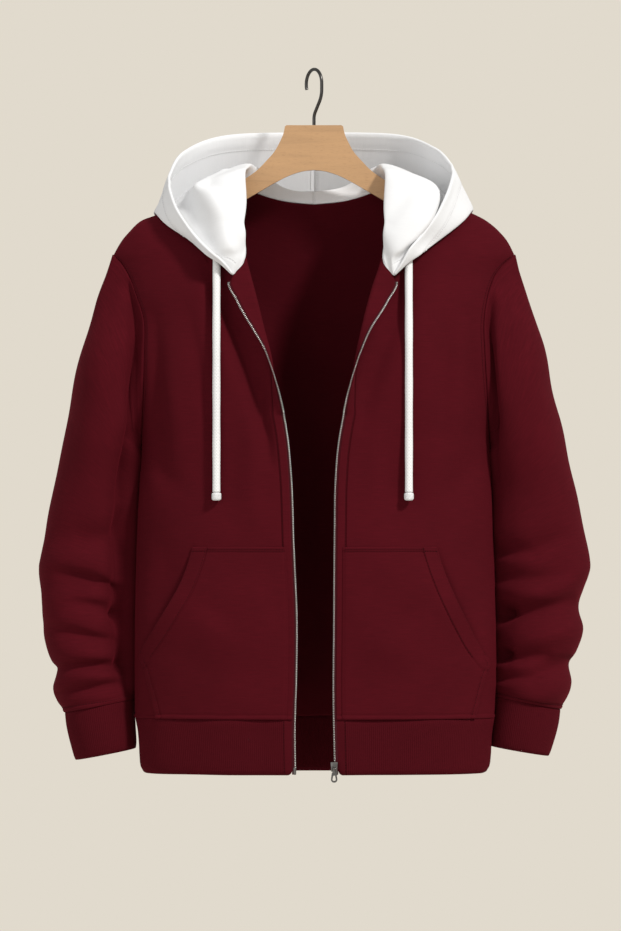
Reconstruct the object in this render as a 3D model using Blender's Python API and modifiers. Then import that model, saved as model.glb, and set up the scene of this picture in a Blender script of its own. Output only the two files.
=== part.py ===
"""Zip-up hooded sweatshirt, open at the front, on a wooden hanger with a wire hook.

Metres, +Z up, +X to the viewer's right, -Y to the viewer. The origin is the hook's inner top.
Each cloth piece is the middle surface of its wall, made thick with Solidify. In the tables, `out` is
the distance from the middle of the garment to either side and `front` is the distance to the viewer.
"""
import math

import bmesh
import bpy
import numpy as np
from mathutils import Matrix

# Driving dimensions
CLOTH = 0.002            # wall of the sweatshirt knit
RIB = 0.0024             # wall of the ribbed cuffs and hem
GAP = 0.0006             # between two edges that meet at a seam
ARMHOLE_SEAM = 0.0018    # from the body's armhole edge to the sleeve's, straight out
ZIP_STEP = 0.0032        # from the front's edge to the middle of the zip's toothed edge
HOOD_SEAM = 0.0024       # from the body's neck edge to the hood's, past the body's own wall
NECK_POINT = (0.098, -0.134)       # out, z: where the shoulder meets the neck
SHOULDER_POINT = (0.2403, -0.2215)  # out, z: top of the armhole
ARMPIT_Z = -0.440
NECK_ROLL = (0.082, -0.2255)       # out, z: where the neck edge turns out with the front edge
ZIP_TOP_Z = -0.252
BACK_NECK_Z = -0.160
HEM_SEAM_Z = -0.7776
BAND_Z = -0.8436         # lower edge of the hem band
SHOULDER_FALL = 0.20     # height over which the shoulder rounds out to full depth
ROUNDNESS = 2.4          # of the body's level sections: 2 is an ellipse
STRIP = 0.0095           # width of the strip along the zip, up to its row of stitches
ROLL_RADIUS = 0.0030     # of the strip's fold where it turns out
EDGE_ZONE = 0.0100       # the front's own stretch beside the roll
POCKET_TOP_Z = -0.5724
POCKET_CORNER_Z = -0.7032
POCKET_FULLNESS = 0.0105
CORD_RADIUS = 0.0046
CORD_Z = (-0.2235, -0.5060)        # top and bottom of the drawstrings' tubes
CORD_TIP_RADIUS = 0.0052
CORD_TIP_LENGTH = 0.0100
CLEAR = 0.0006           # between a cord and the cloth it lies on
CHAIN_HALF = (0.0014, 0.0011)      # of the zip's toothed edge: half width, half thickness
SLIDER_Z = -0.8340       # middle of the slider
SLIDER_SIZE = (0.0086, 0.0084, 0.0115)
SLIDER_SLOT = 0.0050     # gap between its plates, for the chain and the cloth's edge
PULL_AXIS_Z = -0.8362
PULL_SIZE = (0.0078, 0.0014, 0.0138)
HANGER_THICKNESS = 0.013
HOOK_WIRE = 0.002        # radius
HOOK_RADIUS = 0.0175     # of the hook's bend, at the middle of the wire
HOOK_TURN = math.radians(58)       # of the hook's plane from the hanger's, about Z

# How the half depth of the body's level sections runs down the garment
FULLNESS = [  # z, front, back
    (-0.130, 0.062, 0.060),
    (-0.220, 0.072, 0.068),
    (-0.320, 0.083, 0.074),
    (-0.450, 0.086, 0.076),
    (-0.620, 0.084, 0.074),
    (-0.7776, 0.074, 0.066),
    (-0.8436, 0.068, 0.060),
]
NECK_EDGE = [  # z, out: the fronts' neck edge, from the shoulder down to the roll
    (-0.134, 0.0980),
    (-0.160, 0.0975),
    (-0.185, 0.0960),
    (-0.208, 0.0910),
    (-0.2255, 0.0820),
]

LEFT = {
    "name": "left", "sign": -1,
    "shoulder": [  # out, z
        (0.0980, -0.1340), (0.1370, -0.1530), (0.1914, -0.1748), (0.2107, -0.1832),
        (0.2213, -0.1938), (0.2310, -0.2053), (0.2403, -0.2215)],
    "side": [  # z, out: armhole edge, then the side down to the hem seam
        (-0.2215, 0.2403), (-0.2292, 0.2324), (-0.2405, 0.2248), (-0.2544, 0.2178),
        (-0.2652, 0.2142), (-0.2964, 0.2040), (-0.3400, 0.2030), (-0.3848, 0.2038),
        (-0.4400, 0.2066), (-0.5052, 0.2100), (-0.6228, 0.2140), (-0.7260, 0.2150),
        (-0.7776, 0.2146)],
    "band": [(-0.7776, 0.2132), (-0.8000, 0.2118), (-0.8280, 0.2092), (-0.8436, 0.2060)],
    "zip_edge": [  # z, out
        (-0.2255, 0.0820), (-0.2350, 0.0885), (-0.2450, 0.0970), (-0.2520, 0.1012),
        (-0.2784, 0.0918), (-0.3144, 0.0716), (-0.3355, 0.0593), (-0.3617, 0.0493),
        (-0.4044, 0.0386), (-0.4388, 0.0323), (-0.4836, 0.0280), (-0.5712, 0.0246),
        (-0.6636, 0.0210), (-0.7260, 0.0216), (-0.7884, 0.0234), (-0.8436, 0.0228)],
    "roll": [  # z, out: inner edge of the turned-out strip
        (-0.2255, 0.0820), (-0.2520, 0.0752), (-0.2792, 0.0682), (-0.3144, 0.0593),
        (-0.3497, 0.0505), (-0.3640, 0.0488), (-0.3850, 0.0480), (-0.4120, 0.0464)],
    "pocket": [  # z, out: slanted open side, then the sewn side under it
        (-0.5724, 0.1435), (-0.6144, 0.1602), (-0.6456, 0.1746), (-0.6720, 0.1890),
        (-0.6929, 0.2030), (-0.7032, 0.2070), (-0.7164, 0.2024), (-0.7404, 0.1952),
        (-0.7770, 0.1860)],
    "cord_out": 0.1162,
    # Outer and inner edge of each sleeve section, its half depth and how far back its middle lies
    "sleeve": [  # outer out, outer z, inner out, inner z, half depth, back
        (0.2581, -0.2726, 0.2095, -0.4530, 0.0440, 0.001),
        (0.2684, -0.3077, 0.2105, -0.4620, 0.0500, 0.003),
        (0.2788, -0.3449, 0.2110, -0.4740, 0.0530, 0.006),
        (0.2892, -0.3842, 0.2115, -0.4900, 0.0540, 0.010),
        (0.2974, -0.4235, 0.2120, -0.5080, 0.0540, 0.013),
        (0.3078, -0.4710, 0.2125, -0.5350, 0.0530, 0.016),
        (0.3160, -0.5160, 0.2130, -0.5630, 0.0515, 0.018),
        (0.3225, -0.5480, 0.2135, -0.5830, 0.0500, 0.020),
        (0.3285, -0.5850, 0.2140, -0.6040, 0.0510, 0.020),
        (0.3293, -0.6010, 0.2142, -0.6190, 0.0500, 0.020),
        (0.3252, -0.6320, 0.2145, -0.6400, 0.0455, 0.020),
        (0.3275, -0.6560, 0.2145, -0.6590, 0.0490, 0.020),
        (0.3262, -0.6810, 0.2148, -0.6800, 0.0485, 0.020),
        (0.3150, -0.7080, 0.2150, -0.6990, 0.0440, 0.020),
        (0.3075, -0.7200, 0.2150, -0.7110, 0.0420, 0.020),
        (0.3150, -0.7430, 0.2150, -0.7300, 0.0455, 0.020),
        (0.3110, -0.7580, 0.2152, -0.7430, 0.0440, 0.020),
        (0.3000, -0.7710, 0.2160, -0.7545, 0.0390, 0.020)],
    "cuff": [
        (0.2998, -0.7717, 0.2161, -0.7552, 0.0384, 0.020),
        (0.2965, -0.7870, 0.2165, -0.7700, 0.0375, 0.020),
        (0.2905, -0.8080, 0.2160, -0.7920, 0.0360, 0.020),
        (0.2834, -0.8288, 0.2150, -0.8140, 0.0335, 0.020)],
    # Each row is one section of the hood half, from the neck seam out to the free edge. The seam is
    # at a height on the rolled strip or the front, or at a distance out on the back. Then come
    # (out, front, z) of the roll at the neck opening, the face seen from the front, the bag's lowest
    # stretch, the outer fold that rests on the garment or the wall behind, and the rim.
    "hood": [  # seam, roll, face, bag, outer, rim
        [("front", -0.2465), (0.0950, 0.0716, -0.2425), (0.0962, 0.0726, -0.2405),
         (0.0980, 0.0726, -0.2405), (0.0992, 0.0726, -0.2422), (0.0978, 0.0762, -0.2436)],
        [("front", -0.2360), (0.0856, 0.0702, -0.2280), (0.0950, 0.0756, -0.2250),
         (0.1060, 0.0740, -0.2290), (0.1125, 0.0730, -0.2318), (0.1085, 0.0785, -0.2322)],
        [("front", -0.2235), (0.0822, 0.0690, -0.2140), (0.1000, 0.0790, -0.2130),
         (0.1180, 0.0725, -0.2195), (0.1290, 0.0700, -0.2210), (0.1235, 0.0790, -0.2195)],
        [("front", -0.2065), (0.0815, 0.0680, -0.1960), (0.1050, 0.0780, -0.1970),
         (0.1290, 0.0610, -0.2050), (0.1450, 0.0530, -0.2085), (0.1385, 0.0680, -0.2045)],
        [("front", -0.1780), (0.0815, 0.0620, -0.1760), (0.1100, 0.0730, -0.1780),
         (0.1400, 0.0490, -0.1880), (0.1620, 0.0415, -0.1955), (0.1510, 0.0600, -0.1885)],
        [("front", -0.1520), (0.0815, 0.0500, -0.1480), (0.1230, 0.0600, -0.1500),
         (0.1500, 0.0360, -0.1710), (0.1800, 0.0275, -0.1820), (0.1645, 0.0500, -0.1670)],
        [("front", -0.1400), (0.0825, 0.0340, -0.1230), (0.1380, 0.0400, -0.1385),
         (0.1560, 0.0100, -0.1500), (0.1915, 0.0030, -0.1705), (0.1722, 0.0360, -0.1455)],
        [("back", 0.0975), (0.0795, 0.0120, -0.1165), (0.1230, 0.0140, -0.1300),
         (0.1520, -0.0260, -0.1630), (0.1890, -0.0150, -0.1760), (0.1735, 0.0250, -0.1350)],
        [("back", 0.0840), (0.0740, -0.0160, -0.1130), (0.1050, -0.0150, -0.1205),
         (0.1450, -0.0620, -0.1880), (0.1830, -0.0380, -0.1850), (0.1724, 0.0120, -0.1230)],
        [("back", 0.0700), (0.0620, -0.0290, -0.1270), (0.0760, -0.0330, -0.1150),
         (0.1200, -0.0820, -0.2500), (0.1560, -0.0800, -0.2150), (0.1560, -0.0190, -0.0960)],
        [("back", 0.0400), (0.0360, -0.0400, -0.1400), (0.0420, -0.0450, -0.1380),
         (0.0720, -0.0920, -0.3050), (0.1000, -0.1150, -0.2350), (0.1050, -0.0570, -0.0755)],
        [("back", 0.0003), (0.0003, -0.0430, -0.1440), (0.0003, -0.0500, -0.1480),
         (0.0003, -0.0940, -0.3300), (0.0003, -0.1280, -0.2400), (0.0003, -0.0800, -0.0707)],
    ],
}

RIGHT = {
    "name": "right", "sign": 1,
    "shoulder": [
        (0.0980, -0.1340), (0.1370, -0.1520), (0.1907, -0.1725), (0.2071, -0.1812),
        (0.2222, -0.1939), (0.2324, -0.2065), (0.2403, -0.2215)],
    "side": [
        (-0.2215, 0.2403), (-0.2333, 0.2264), (-0.2435, 0.2181), (-0.2622, 0.2099),
        (-0.2808, 0.2055), (-0.3000, 0.2030), (-0.3400, 0.2040), (-0.3780, 0.2062),
        (-0.4400, 0.2105), (-0.5160, 0.2138), (-0.6528, 0.2178), (-0.7440, 0.2180),
        (-0.7776, 0.2160)],
    "band": [(-0.7776, 0.2150), (-0.8000, 0.2142), (-0.8280, 0.2120), (-0.8436, 0.2088)],
    "zip_edge": [
        (-0.2255, 0.0820), (-0.2350, 0.0868), (-0.2450, 0.0945), (-0.2520, 0.0984),
        (-0.2789, 0.0876), (-0.3126, 0.0674), (-0.3311, 0.0589), (-0.3530, 0.0505),
        (-0.3698, 0.0455), (-0.4104, 0.0365), (-0.4517, 0.0293), (-0.4944, 0.0260),
        (-0.5520, 0.0250), (-0.6636, 0.0242), (-0.7464, 0.0236), (-0.8436, 0.0256)],
    "roll": [
        (-0.2255, 0.0820), (-0.2503, 0.0742), (-0.2772, 0.0658), (-0.3109, 0.0572),
        (-0.3462, 0.0500), (-0.3698, 0.0470), (-0.3900, 0.0465), (-0.4120, 0.0457)],
    "pocket": [
        (-0.5724, 0.1452), (-0.6060, 0.1547), (-0.6392, 0.1672), (-0.6702, 0.1836),
        (-0.6950, 0.2000), (-0.7094, 0.2090), (-0.7260, 0.2022), (-0.7425, 0.1992),
        (-0.7770, 0.1898)],
    "cord_out": 0.1130,
    "sleeve": [
        (0.2513, -0.2602, 0.2140, -0.4520, 0.0430, 0.001),
        (0.2636, -0.2974, 0.2148, -0.4610, 0.0500, 0.003),
        (0.2760, -0.3388, 0.2152, -0.4730, 0.0530, 0.006),
        (0.2864, -0.3780, 0.2152, -0.4890, 0.0540, 0.010),
        (0.2968, -0.4255, 0.2156, -0.5080, 0.0540, 0.013),
        (0.3071, -0.4710, 0.2160, -0.5350, 0.0530, 0.016),
        (0.3163, -0.5160, 0.2165, -0.5600, 0.0515, 0.018),
        (0.3230, -0.5500, 0.2168, -0.5830, 0.0505, 0.020),
        (0.3290, -0.5860, 0.2172, -0.6040, 0.0515, 0.020),
        (0.3298, -0.6030, 0.2174, -0.6190, 0.0500, 0.020),
        (0.3255, -0.6250, 0.2176, -0.6350, 0.0465, 0.020),
        (0.3190, -0.6450, 0.2176, -0.6500, 0.0440, 0.020),
        (0.3225, -0.6720, 0.2178, -0.6720, 0.0480, 0.020),
        (0.3150, -0.6970, 0.2178, -0.6930, 0.0450, 0.020),
        (0.3068, -0.7130, 0.2178, -0.7070, 0.0415, 0.020),
        (0.3108, -0.7350, 0.2178, -0.7250, 0.0450, 0.020),
        (0.3060, -0.7530, 0.2178, -0.7390, 0.0430, 0.020),
        (0.2968, -0.7670, 0.2180, -0.7520, 0.0390, 0.020)],
    "cuff": [
        (0.2966, -0.7677, 0.2180, -0.7527, 0.0384, 0.020),
        (0.2935, -0.7830, 0.2183, -0.7680, 0.0375, 0.020),
        (0.2880, -0.8040, 0.2170, -0.7900, 0.0360, 0.020),
        (0.2818, -0.8238, 0.2150, -0.8110, 0.0335, 0.020)],
    "hood": [
        [("front", -0.2475), (0.0935, 0.0716, -0.2435), (0.0947, 0.0726, -0.2418),
         (0.0962, 0.0726, -0.2425), (0.0975, 0.0726, -0.2438), (0.0962, 0.0762, -0.2450)],
        [("front", -0.2360), (0.0852, 0.0702, -0.2285), (0.0930, 0.0758, -0.2270),
         (0.1000, 0.0715, -0.2300), (0.1105, 0.0720, -0.2330), (0.1055, 0.0785, -0.2320)],
        [("front", -0.2235), (0.0838, 0.0690, -0.2140), (0.1040, 0.0790, -0.2160),
         (0.1105, 0.0700, -0.2200), (0.1260, 0.0690, -0.2215), (0.1150, 0.0790, -0.2155)],
        [("front", -0.2065), (0.0836, 0.0680, -0.1960), (0.1230, 0.0770, -0.2005),
         (0.1265, 0.0600, -0.2050), (0.1430, 0.0530, -0.2090), (0.1315, 0.0700, -0.1965)],
        [("front", -0.1780), (0.0842, 0.0620, -0.1760), (0.1385, 0.0700, -0.1800),
         (0.1410, 0.0480, -0.1880), (0.1620, 0.0415, -0.1945), (0.1462, 0.0630, -0.1760)],
        [("front", -0.1520), (0.0845, 0.0500, -0.1480), (0.1470, 0.0540, -0.1505),
         (0.1500, 0.0340, -0.1700), (0.1795, 0.0270, -0.1800), (0.1590, 0.0510, -0.1495)],
        [("front", -0.1400), (0.0852, 0.0340, -0.1240), (0.1380, 0.0360, -0.1345),
         (0.1550, 0.0100, -0.1490), (0.1900, 0.0030, -0.1676), (0.1660, 0.0370, -0.1275)],
        [("back", 0.0975), (0.0825, 0.0120, -0.1170), (0.1240, 0.0130, -0.1275),
         (0.1520, -0.0260, -0.1630), (0.1885, -0.0150, -0.1730), (0.1655, 0.0250, -0.1190)],
        [("back", 0.0840), (0.0780, -0.0160, -0.1130), (0.1060, -0.0150, -0.1190),
         (0.1450, -0.0620, -0.1880), (0.1840, -0.0380, -0.1800), (0.1630, 0.0120, -0.1110)],
        [("back", 0.0700), (0.0640, -0.0290, -0.1270), (0.0780, -0.0330, -0.1150),
         (0.1200, -0.0820, -0.2500), (0.1560, -0.0800, -0.2150), (0.1450, -0.0190, -0.0915)],
        [("back", 0.0400), (0.0360, -0.0400, -0.1400), (0.0420, -0.0450, -0.1380),
         (0.0720, -0.0920, -0.3050), (0.1000, -0.1150, -0.2350), (0.1000, -0.0570, -0.0745)],
        [("back", 0.0003), (0.0003, -0.0430, -0.1440), (0.0003, -0.0500, -0.1480),
         (0.0003, -0.0940, -0.3300), (0.0003, -0.1280, -0.2400), (0.0003, -0.0800, -0.0707)],
    ],
}


# ---------------------------------------------------------------- curves and surfaces

def spline(keys, values, at):
    """Read a smooth curve through `values` at rising `keys`."""
    keys = np.asarray(keys, float)
    values = np.asarray(values, float)
    at = np.clip(np.asarray(at, float), keys[0], keys[-1])
    slopes = np.gradient(values, keys, axis=0)
    low = np.clip(np.searchsorted(keys, at, side="right") - 1, 0, len(keys) - 2)
    step = keys[low + 1] - keys[low]
    t = (at - keys[low]) / step
    if values.ndim > 1:
        step = step[..., None]
        t = t[..., None]
    return ((1 + 2 * t) * (1 - t) ** 2 * values[low] + t * (1 - t) ** 2 * step * slopes[low]
            + t * t * (3 - 2 * t) * values[low + 1] + t * t * (t - 1) * step * slopes[low + 1])


def down_table(rows, z, column=1):
    """Read a column of a table whose first column is z, from the top down."""
    rows = np.asarray(rows, float)
    return spline(-rows[:, 0], rows[:, column], -np.asarray(z, float))


def smooth_step(x):
    x = np.clip(x, 0, 1)
    return x * x * (3 - 2 * x)


def shoulder_z(side, out):
    """Height of the shoulder line; inside the neck point it stays level."""
    rows = np.asarray(side["shoulder"])
    return spline(rows[:, 0], rows[:, 1], np.maximum(out, rows[0, 0]))


def edge_out(side, z):
    """Outer edge of the body: shoulder line, armhole, side or hem band."""
    dense = np.linspace(NECK_POINT[0], SHOULDER_POINT[0], 300)
    shoulder = np.interp(-z, -shoulder_z(side, dense), dense)
    if z >= SHOULDER_POINT[1]:
        return shoulder
    if z >= HEM_SEAM_Z:
        return down_table(side["side"], z)
    return down_table(side["band"], z)


def half_width(side, z):
    """Half width of the level section, which the armhole's edge lies inside."""
    if z >= SHOULDER_POINT[1]:
        return SHOULDER_POINT[0] + 0.35 * (z - SHOULDER_POINT[1])
    share = min(1.0, (SHOULDER_POINT[1] - z) / (SHOULDER_POINT[1] - ARMPIT_Z))
    return edge_out(side, z) + 0.078 * share * (1 - share) ** 1.2


def depth(side, out, z, face):
    """Distance from the shoulder's plane to the front (face 1) or back (face 2) at a place."""
    width = half_width(side, z)
    across = np.sqrt(np.maximum(0, 1 - (np.minimum(out, width) / width) ** ROUNDNESS))
    below = np.clip((shoulder_z(side, out) - z) / SHOULDER_FALL, 0, 1)
    down = np.sqrt(1 - (1 - below) ** 2)
    return GAP + down_table(FULLNESS, z, face) * across * down


def zip_out(side, z):
    """The line of the zip's teeth."""
    return down_table(side["zip_edge"], z)


def roll_out(side, z):
    """Where the front edge's strip turns: the roll line, then the strip's row of stitches."""
    if z >= side["roll"][-1][0]:
        return down_table(side["roll"], z)
    return zip_out(side, z) + STRIP


def edge_turn(side, z):
    """How the strip beyond the roll lies: its turn, 0 flat and pi folded back, and its length."""
    past = zip_out(side, z) - roll_out(side, z)
    own = STRIP * smooth_step((NECK_ROLL[1] - z) / (NECK_ROLL[1] - ZIP_TOP_Z))
    length = (past ** 4 + own ** 4) ** 0.25 if past > 0 else own
    turn = math.acos(float(np.clip(-past / max(length, 1e-6), -1, 1)))
    return turn, float(length + ROLL_RADIUS * math.cos(turn))


def front_edge(side, z, count, past_cloth=0.0):
    """The last points (out, front) of a level row of a front, evenly along the cloth."""
    if z >= NECK_ROLL[1]:
        out = down_table(NECK_EDGE, z) + np.linspace(EDGE_ZONE, 0, count)
        return np.stack([out, depth(side, out, z, 1)], axis=1)
    turn, free = edge_turn(side, z)
    start = EDGE_ZONE - ROLL_RADIUS
    arc = ROLL_RADIUS * turn
    along = np.linspace(0, start + arc + max(0.0, free - ZIP_STEP) + past_cloth, count)
    swept = np.clip((along - start) / ROLL_RADIUS, 0, turn)
    tail = np.maximum(0, along - start - arc)
    out = (roll_out(side, z) + EDGE_ZONE - np.minimum(along, start)
           - ROLL_RADIUS * np.sin(swept) - tail * math.cos(turn))
    lift = ROLL_RADIUS * (1 - np.cos(swept)) + tail * math.sin(turn)
    return np.stack([out, depth(side, out, z, 1) + lift], axis=1)


def place(side, out, front, z):
    return (side["sign"] * out, -front, z)


# ---------------------------------------------------------------- meshes and materials

def material(name, color, roughness, metallic=0.0):
    made = bpy.data.materials.new(name)
    made.diffuse_color = (*color, 1)
    made.use_nodes = True
    shader = made.node_tree.nodes["Principled BSDF"]
    shader.inputs["Base Color"].default_value = (*color, 1)
    shader.inputs["Roughness"].default_value = roughness
    shader.inputs["Metallic"].default_value = metallic
    return made


def add_object(name, mesh, collection, finish):
    mesh.materials.clear()
    mesh.materials.append(finish)
    made = bpy.data.objects.new(name, mesh)
    collection.objects.link(made)
    return made


def sheet(name, grid, collection, finish, thickness, outside, around=False):
    """A cloth wall through a grid of middle points; `outside` is a point that its outer face sees.

    `around` closes each row into a ring.
    """
    rows, columns = grid.shape[:2]
    shape = bmesh.new()
    points = [[shape.verts.new(grid[r, c]) for c in range(columns)] for r in range(rows)]
    for r in range(rows - 1):
        for c in range(columns if around else columns - 1):
            d = (c + 1) % columns
            shape.faces.new((points[r][c], points[r + 1][c], points[r + 1][d], points[r][d]))
    shape.normal_update()
    middle = shape.faces[:][len(shape.faces) // 2]
    away = np.asarray(outside) - np.asarray(middle.calc_center_median())
    if float(np.dot(np.asarray(middle.normal), away)) < 0:
        bmesh.ops.reverse_faces(shape, faces=shape.faces[:])
    mesh = finish_mesh(shape, name)
    mesh.shade_smooth()
    made = add_object(name, mesh, collection, finish)
    wall = made.modifiers.new("wall", "SOLIDIFY")
    wall.thickness = thickness
    wall.offset = 0
    return made


def tube(name, points, radius, collection, finish):
    """A round wire or cord with closed ends along a path of points."""
    curve = bpy.data.curves.new(name, "CURVE")
    curve.dimensions = "3D"
    curve.bevel_depth = radius
    curve.bevel_resolution = 2
    curve.use_fill_caps = True
    path = curve.splines.new("POLY")
    path.points.add(len(points) - 1)
    for point, position in zip(path.points, points):
        point.co = (*position, 1)
    return add_object(name, curve, collection, finish)


def finish_mesh(shape, name):
    """Turn a finished bmesh into a mesh."""
    mesh = bpy.data.meshes.new(name)
    shape.to_mesh(mesh)
    shape.free()
    return mesh


# ---------------------------------------------------------------- cloth pieces

def edge_levels(side, bottom):
    """Heights of the rows down the front edge: close together where the rolled strip ends."""
    roll_end = side["roll"][-1][0]
    closing = roll_end + 0.110
    return np.concatenate([np.linspace(ZIP_TOP_Z, closing, 4)[:-1],
                           np.linspace(closing, roll_end, 9)[:-1],
                           np.linspace(roll_end, HEM_SEAM_Z + GAP / 2, 7)[:-1], [bottom]])


def make_front(side, collection, finish):
    """A front, from level rows between its shoulder, armhole and side and its neck and zip edge."""
    top = NECK_POINT[1] - 0.0030
    levels = np.concatenate([
        np.linspace(top, SHOULDER_POINT[1], 7)[:-1],
        np.linspace(SHOULDER_POINT[1], ZIP_TOP_Z, 4)[:-1],
        edge_levels(side, HEM_SEAM_Z + GAP / 2)])
    share = np.concatenate([[0, 0.008], np.linspace(0.18, 1, 7, endpoint=False) ** 1.8])
    rows = []
    for z in levels:
        edge = front_edge(side, z, 7)
        start = edge_out(side, z)
        if edge[0, 0] > start - EDGE_ZONE:
            neck = down_table(NECK_EDGE, z)
            edge[:, 0] = neck + (start - neck) * np.linspace(0.4, 0, 7)
            edge[:, 1] = depth(side, edge[:, 0], z, 1)
        out = start + (edge[0, 0] - start) * share
        front = depth(side, out, z, 1)
        rows.append([place(side, o, f, z) for o, f in zip(out, front)]
                    + [place(side, o, f, z) for o, f in edge])
    return sheet("front_" + side["name"], np.array(rows), collection, finish, CLOTH,
                 (side["sign"] * 0.15, -2, -0.5))


def back_top(side, out):
    """Height of the back's upper edge: the shoulder line, and the hollow of the neck."""
    if out >= NECK_POINT[0]:
        return float(shoulder_z(side, out))
    hollow = 1 - (out / NECK_POINT[0]) ** 2
    return NECK_POINT[1] + (BACK_NECK_Z - NECK_POINT[1]) * hollow


def make_back(collection, finish):
    """The back, in columns from the shoulders and the neck down to the hem."""
    at_neck = NECK_POINT[0] / SHOULDER_POINT[0]
    over_shoulder = at_neck + (1 - at_neck) * np.sin(np.linspace(0, 1, 6) * math.pi / 2)
    in_neck = at_neck * np.sin(np.linspace(0, 1, 6) * math.pi / 2)
    half = np.concatenate([in_neck[:-1], over_shoulder])
    share_across = np.concatenate([-half[:0:-1], half])
    share_down = np.linspace(0, 1, 17) ** 2.1
    grid = []
    for down in share_down:
        row = []
        for across in share_across:
            side = LEFT if across < 0 else RIGHT
            at_top = abs(across) * SHOULDER_POINT[0]
            top = back_top(side, at_top)
            z = top + (HEM_SEAM_Z + GAP / 2 - top) * down
            width = SHOULDER_POINT[0] if z >= SHOULDER_POINT[1] else edge_out(side, z)
            out = abs(across) * width
            row.append(place(side, out, -depth(side, out, z, 2), z))
        grid.append(row)
    return sheet("back", np.array(grid), collection, finish, CLOTH, (0, 2, -0.5))


def armhole(side, angles):
    """The armhole's edge as a ring: over the front, under the arm, up the back."""
    ring = []
    for angle in angles:
        z = SHOULDER_POINT[1] + (ARMPIT_Z - SHOULDER_POINT[1]) * (1 - math.cos(angle)) / 2
        out = float(edge_out(side, z))
        face = 1 if angle <= math.pi else 2
        deep = float(depth(side, out, z, face)) * (1 if face == 1 else -1)
        ring.append((out, deep, z))
    return np.array(ring)


def ellipse_ring(section, angles):
    """A sleeve section between its outer and inner edge."""
    outer_out, outer_z, inner_out, inner_z, half, back = section
    middle = np.array([(outer_out + inner_out) / 2, -back, (outer_z + inner_z) / 2])
    reach = np.array([(outer_out - inner_out) / 2, 0, (outer_z - inner_z) / 2])
    forward = np.array([0, half, 0])
    return np.array([middle + reach * math.cos(a) + forward * math.sin(a) for a in angles])


def sleeve_ring(side, key, angles):
    """Sleeve ring at a place down the sleeve: 0 is the armhole, then one for each table row."""
    sections = np.array(side["sleeve"])
    top = np.array([(*SHOULDER_POINT, float(edge_out(side, ARMPIT_Z)), ARMPIT_Z, 0.036, 0.0)])
    keys = np.arange(len(sections) + 1)
    section = spline(keys, np.concatenate([top, sections]), key)
    ring = ellipse_ring(section, angles)
    fade = max(0.0, 1 - key / 3.0) ** 1.5
    return ring + fade * (armhole(side, angles) - ellipse_ring(top[0], angles))


def make_sleeve(side, collection, finish):
    angles = np.linspace(0, 2 * math.pi, 14, endpoint=False)
    keys = np.arange(len(side["sleeve"]) + 1)
    rings = np.array([sleeve_ring(side, k, angles) for k in keys])
    rings[0] += (rings[1] - rings[0]) * 0.02 + np.array([ARMHOLE_SEAM, 0, 0])
    grid = np.array([[place(side, *point) for point in ring] for ring in rings])
    return sheet("sleeve_" + side["name"], grid, collection, finish, CLOTH,
                 (side["sign"] * 2, 0, -0.5), around=True)


def make_cuff(side, collection, finish):
    angles = np.linspace(0, 2 * math.pi, 16, endpoint=False)
    rings = [ellipse_ring(section, angles) for section in side["cuff"]]
    grid = np.array([[place(side, *point) for point in ring] for ring in rings])
    return sheet("cuff_" + side["name"], grid, collection, finish, RIB,
                 (side["sign"] * 2, 0, -0.8), around=True)


def band_row(z, columns):
    """A level row of the hem band: left zip edge, left side, back, right side, right zip edge."""
    row = []
    turns = np.linspace(0, 1, columns)
    for side, face, order in ((LEFT, 1, 1), (LEFT, 2, -1), (RIGHT, 2, 1), (RIGHT, 1, -1)):
        inner = zip_out(side, z) + ZIP_STEP if face == 1 else 0.0
        outer = edge_out(side, z)
        out = inner + (outer - inner) * np.sin(turns * math.pi / 2)
        across = np.sqrt(np.maximum(0, 1 - (out / outer) ** ROUNDNESS))
        deep = down_table(FULLNESS, z, face) * across
        stretch = [place(side, o, d if face == 1 else -d, z) for o, d in zip(out, deep)][::order]
        row += stretch if not row else stretch[1:]
    return row


def make_hem_band(collection, finish):
    levels = np.linspace(HEM_SEAM_Z - GAP / 2, BAND_Z, 4)
    grid = np.array([band_row(z, 10) for z in levels])
    return sheet("hem_band", grid, collection, finish, RIB, (0, 2, -0.81))


def off_front(side, out, z, lift):
    """Points of the front moved square off its level section by `lift`."""
    small = 0.0005
    front = depth(side, out, z, 1)
    slope = (front - depth(side, out - small, z, 1)) / small
    length = np.sqrt(1 + slope ** 2)
    return out - lift * slope / length, front + lift / length


def pocket_lift(side, across, z):
    """How far a pocket's middle stands off the front: sewn flat, but full at its open side."""
    down = np.clip((POCKET_TOP_Z - z) / (POCKET_TOP_Z - HEM_SEAM_Z), 0, 1)
    to_corner = np.clip((POCKET_TOP_Z - z) / (POCKET_TOP_Z - POCKET_CORNER_Z), 0, 1)
    opened = np.sin(math.pi * to_corner) ** 0.6
    shut_full = 0.75 * np.sin(math.pi * across) * (1 - opened)
    open_full = np.sin(math.pi * np.minimum(1, 1.1 * across) / 2) * opened
    return CLOTH + GAP + POCKET_FULLNESS * np.sin(math.pi * down) ** 0.7 * (shut_full + open_full)


def make_pocket(side, collection, finish):
    levels = np.linspace(POCKET_TOP_Z, HEM_SEAM_Z + GAP, 10)
    across = np.linspace(0, 1, 8)
    rows = []
    for z in levels:
        inner = roll_out(side, z)
        out = inner + (down_table(side["pocket"], z) - inner) * across
        out, front = off_front(side, out, z, pocket_lift(side, across, z))
        rows.append([place(side, o, f, z) for o, f in zip(out, front)])
    return sheet("pocket_" + side["name"], np.array(rows), collection, finish, CLOTH,
                 (side["sign"] * 0.12, -2, -0.65))


def neck_seam(side, piece, at):
    """A point (out, front, z) on the neck edge: by height on the front, by distance out on the back."""
    if piece == "back":
        z = back_top(side, at)
        return np.array([at, -depth(side, at, z, 2), z])
    return np.array([*front_edge(side, at, 7)[-1], at])


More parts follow.
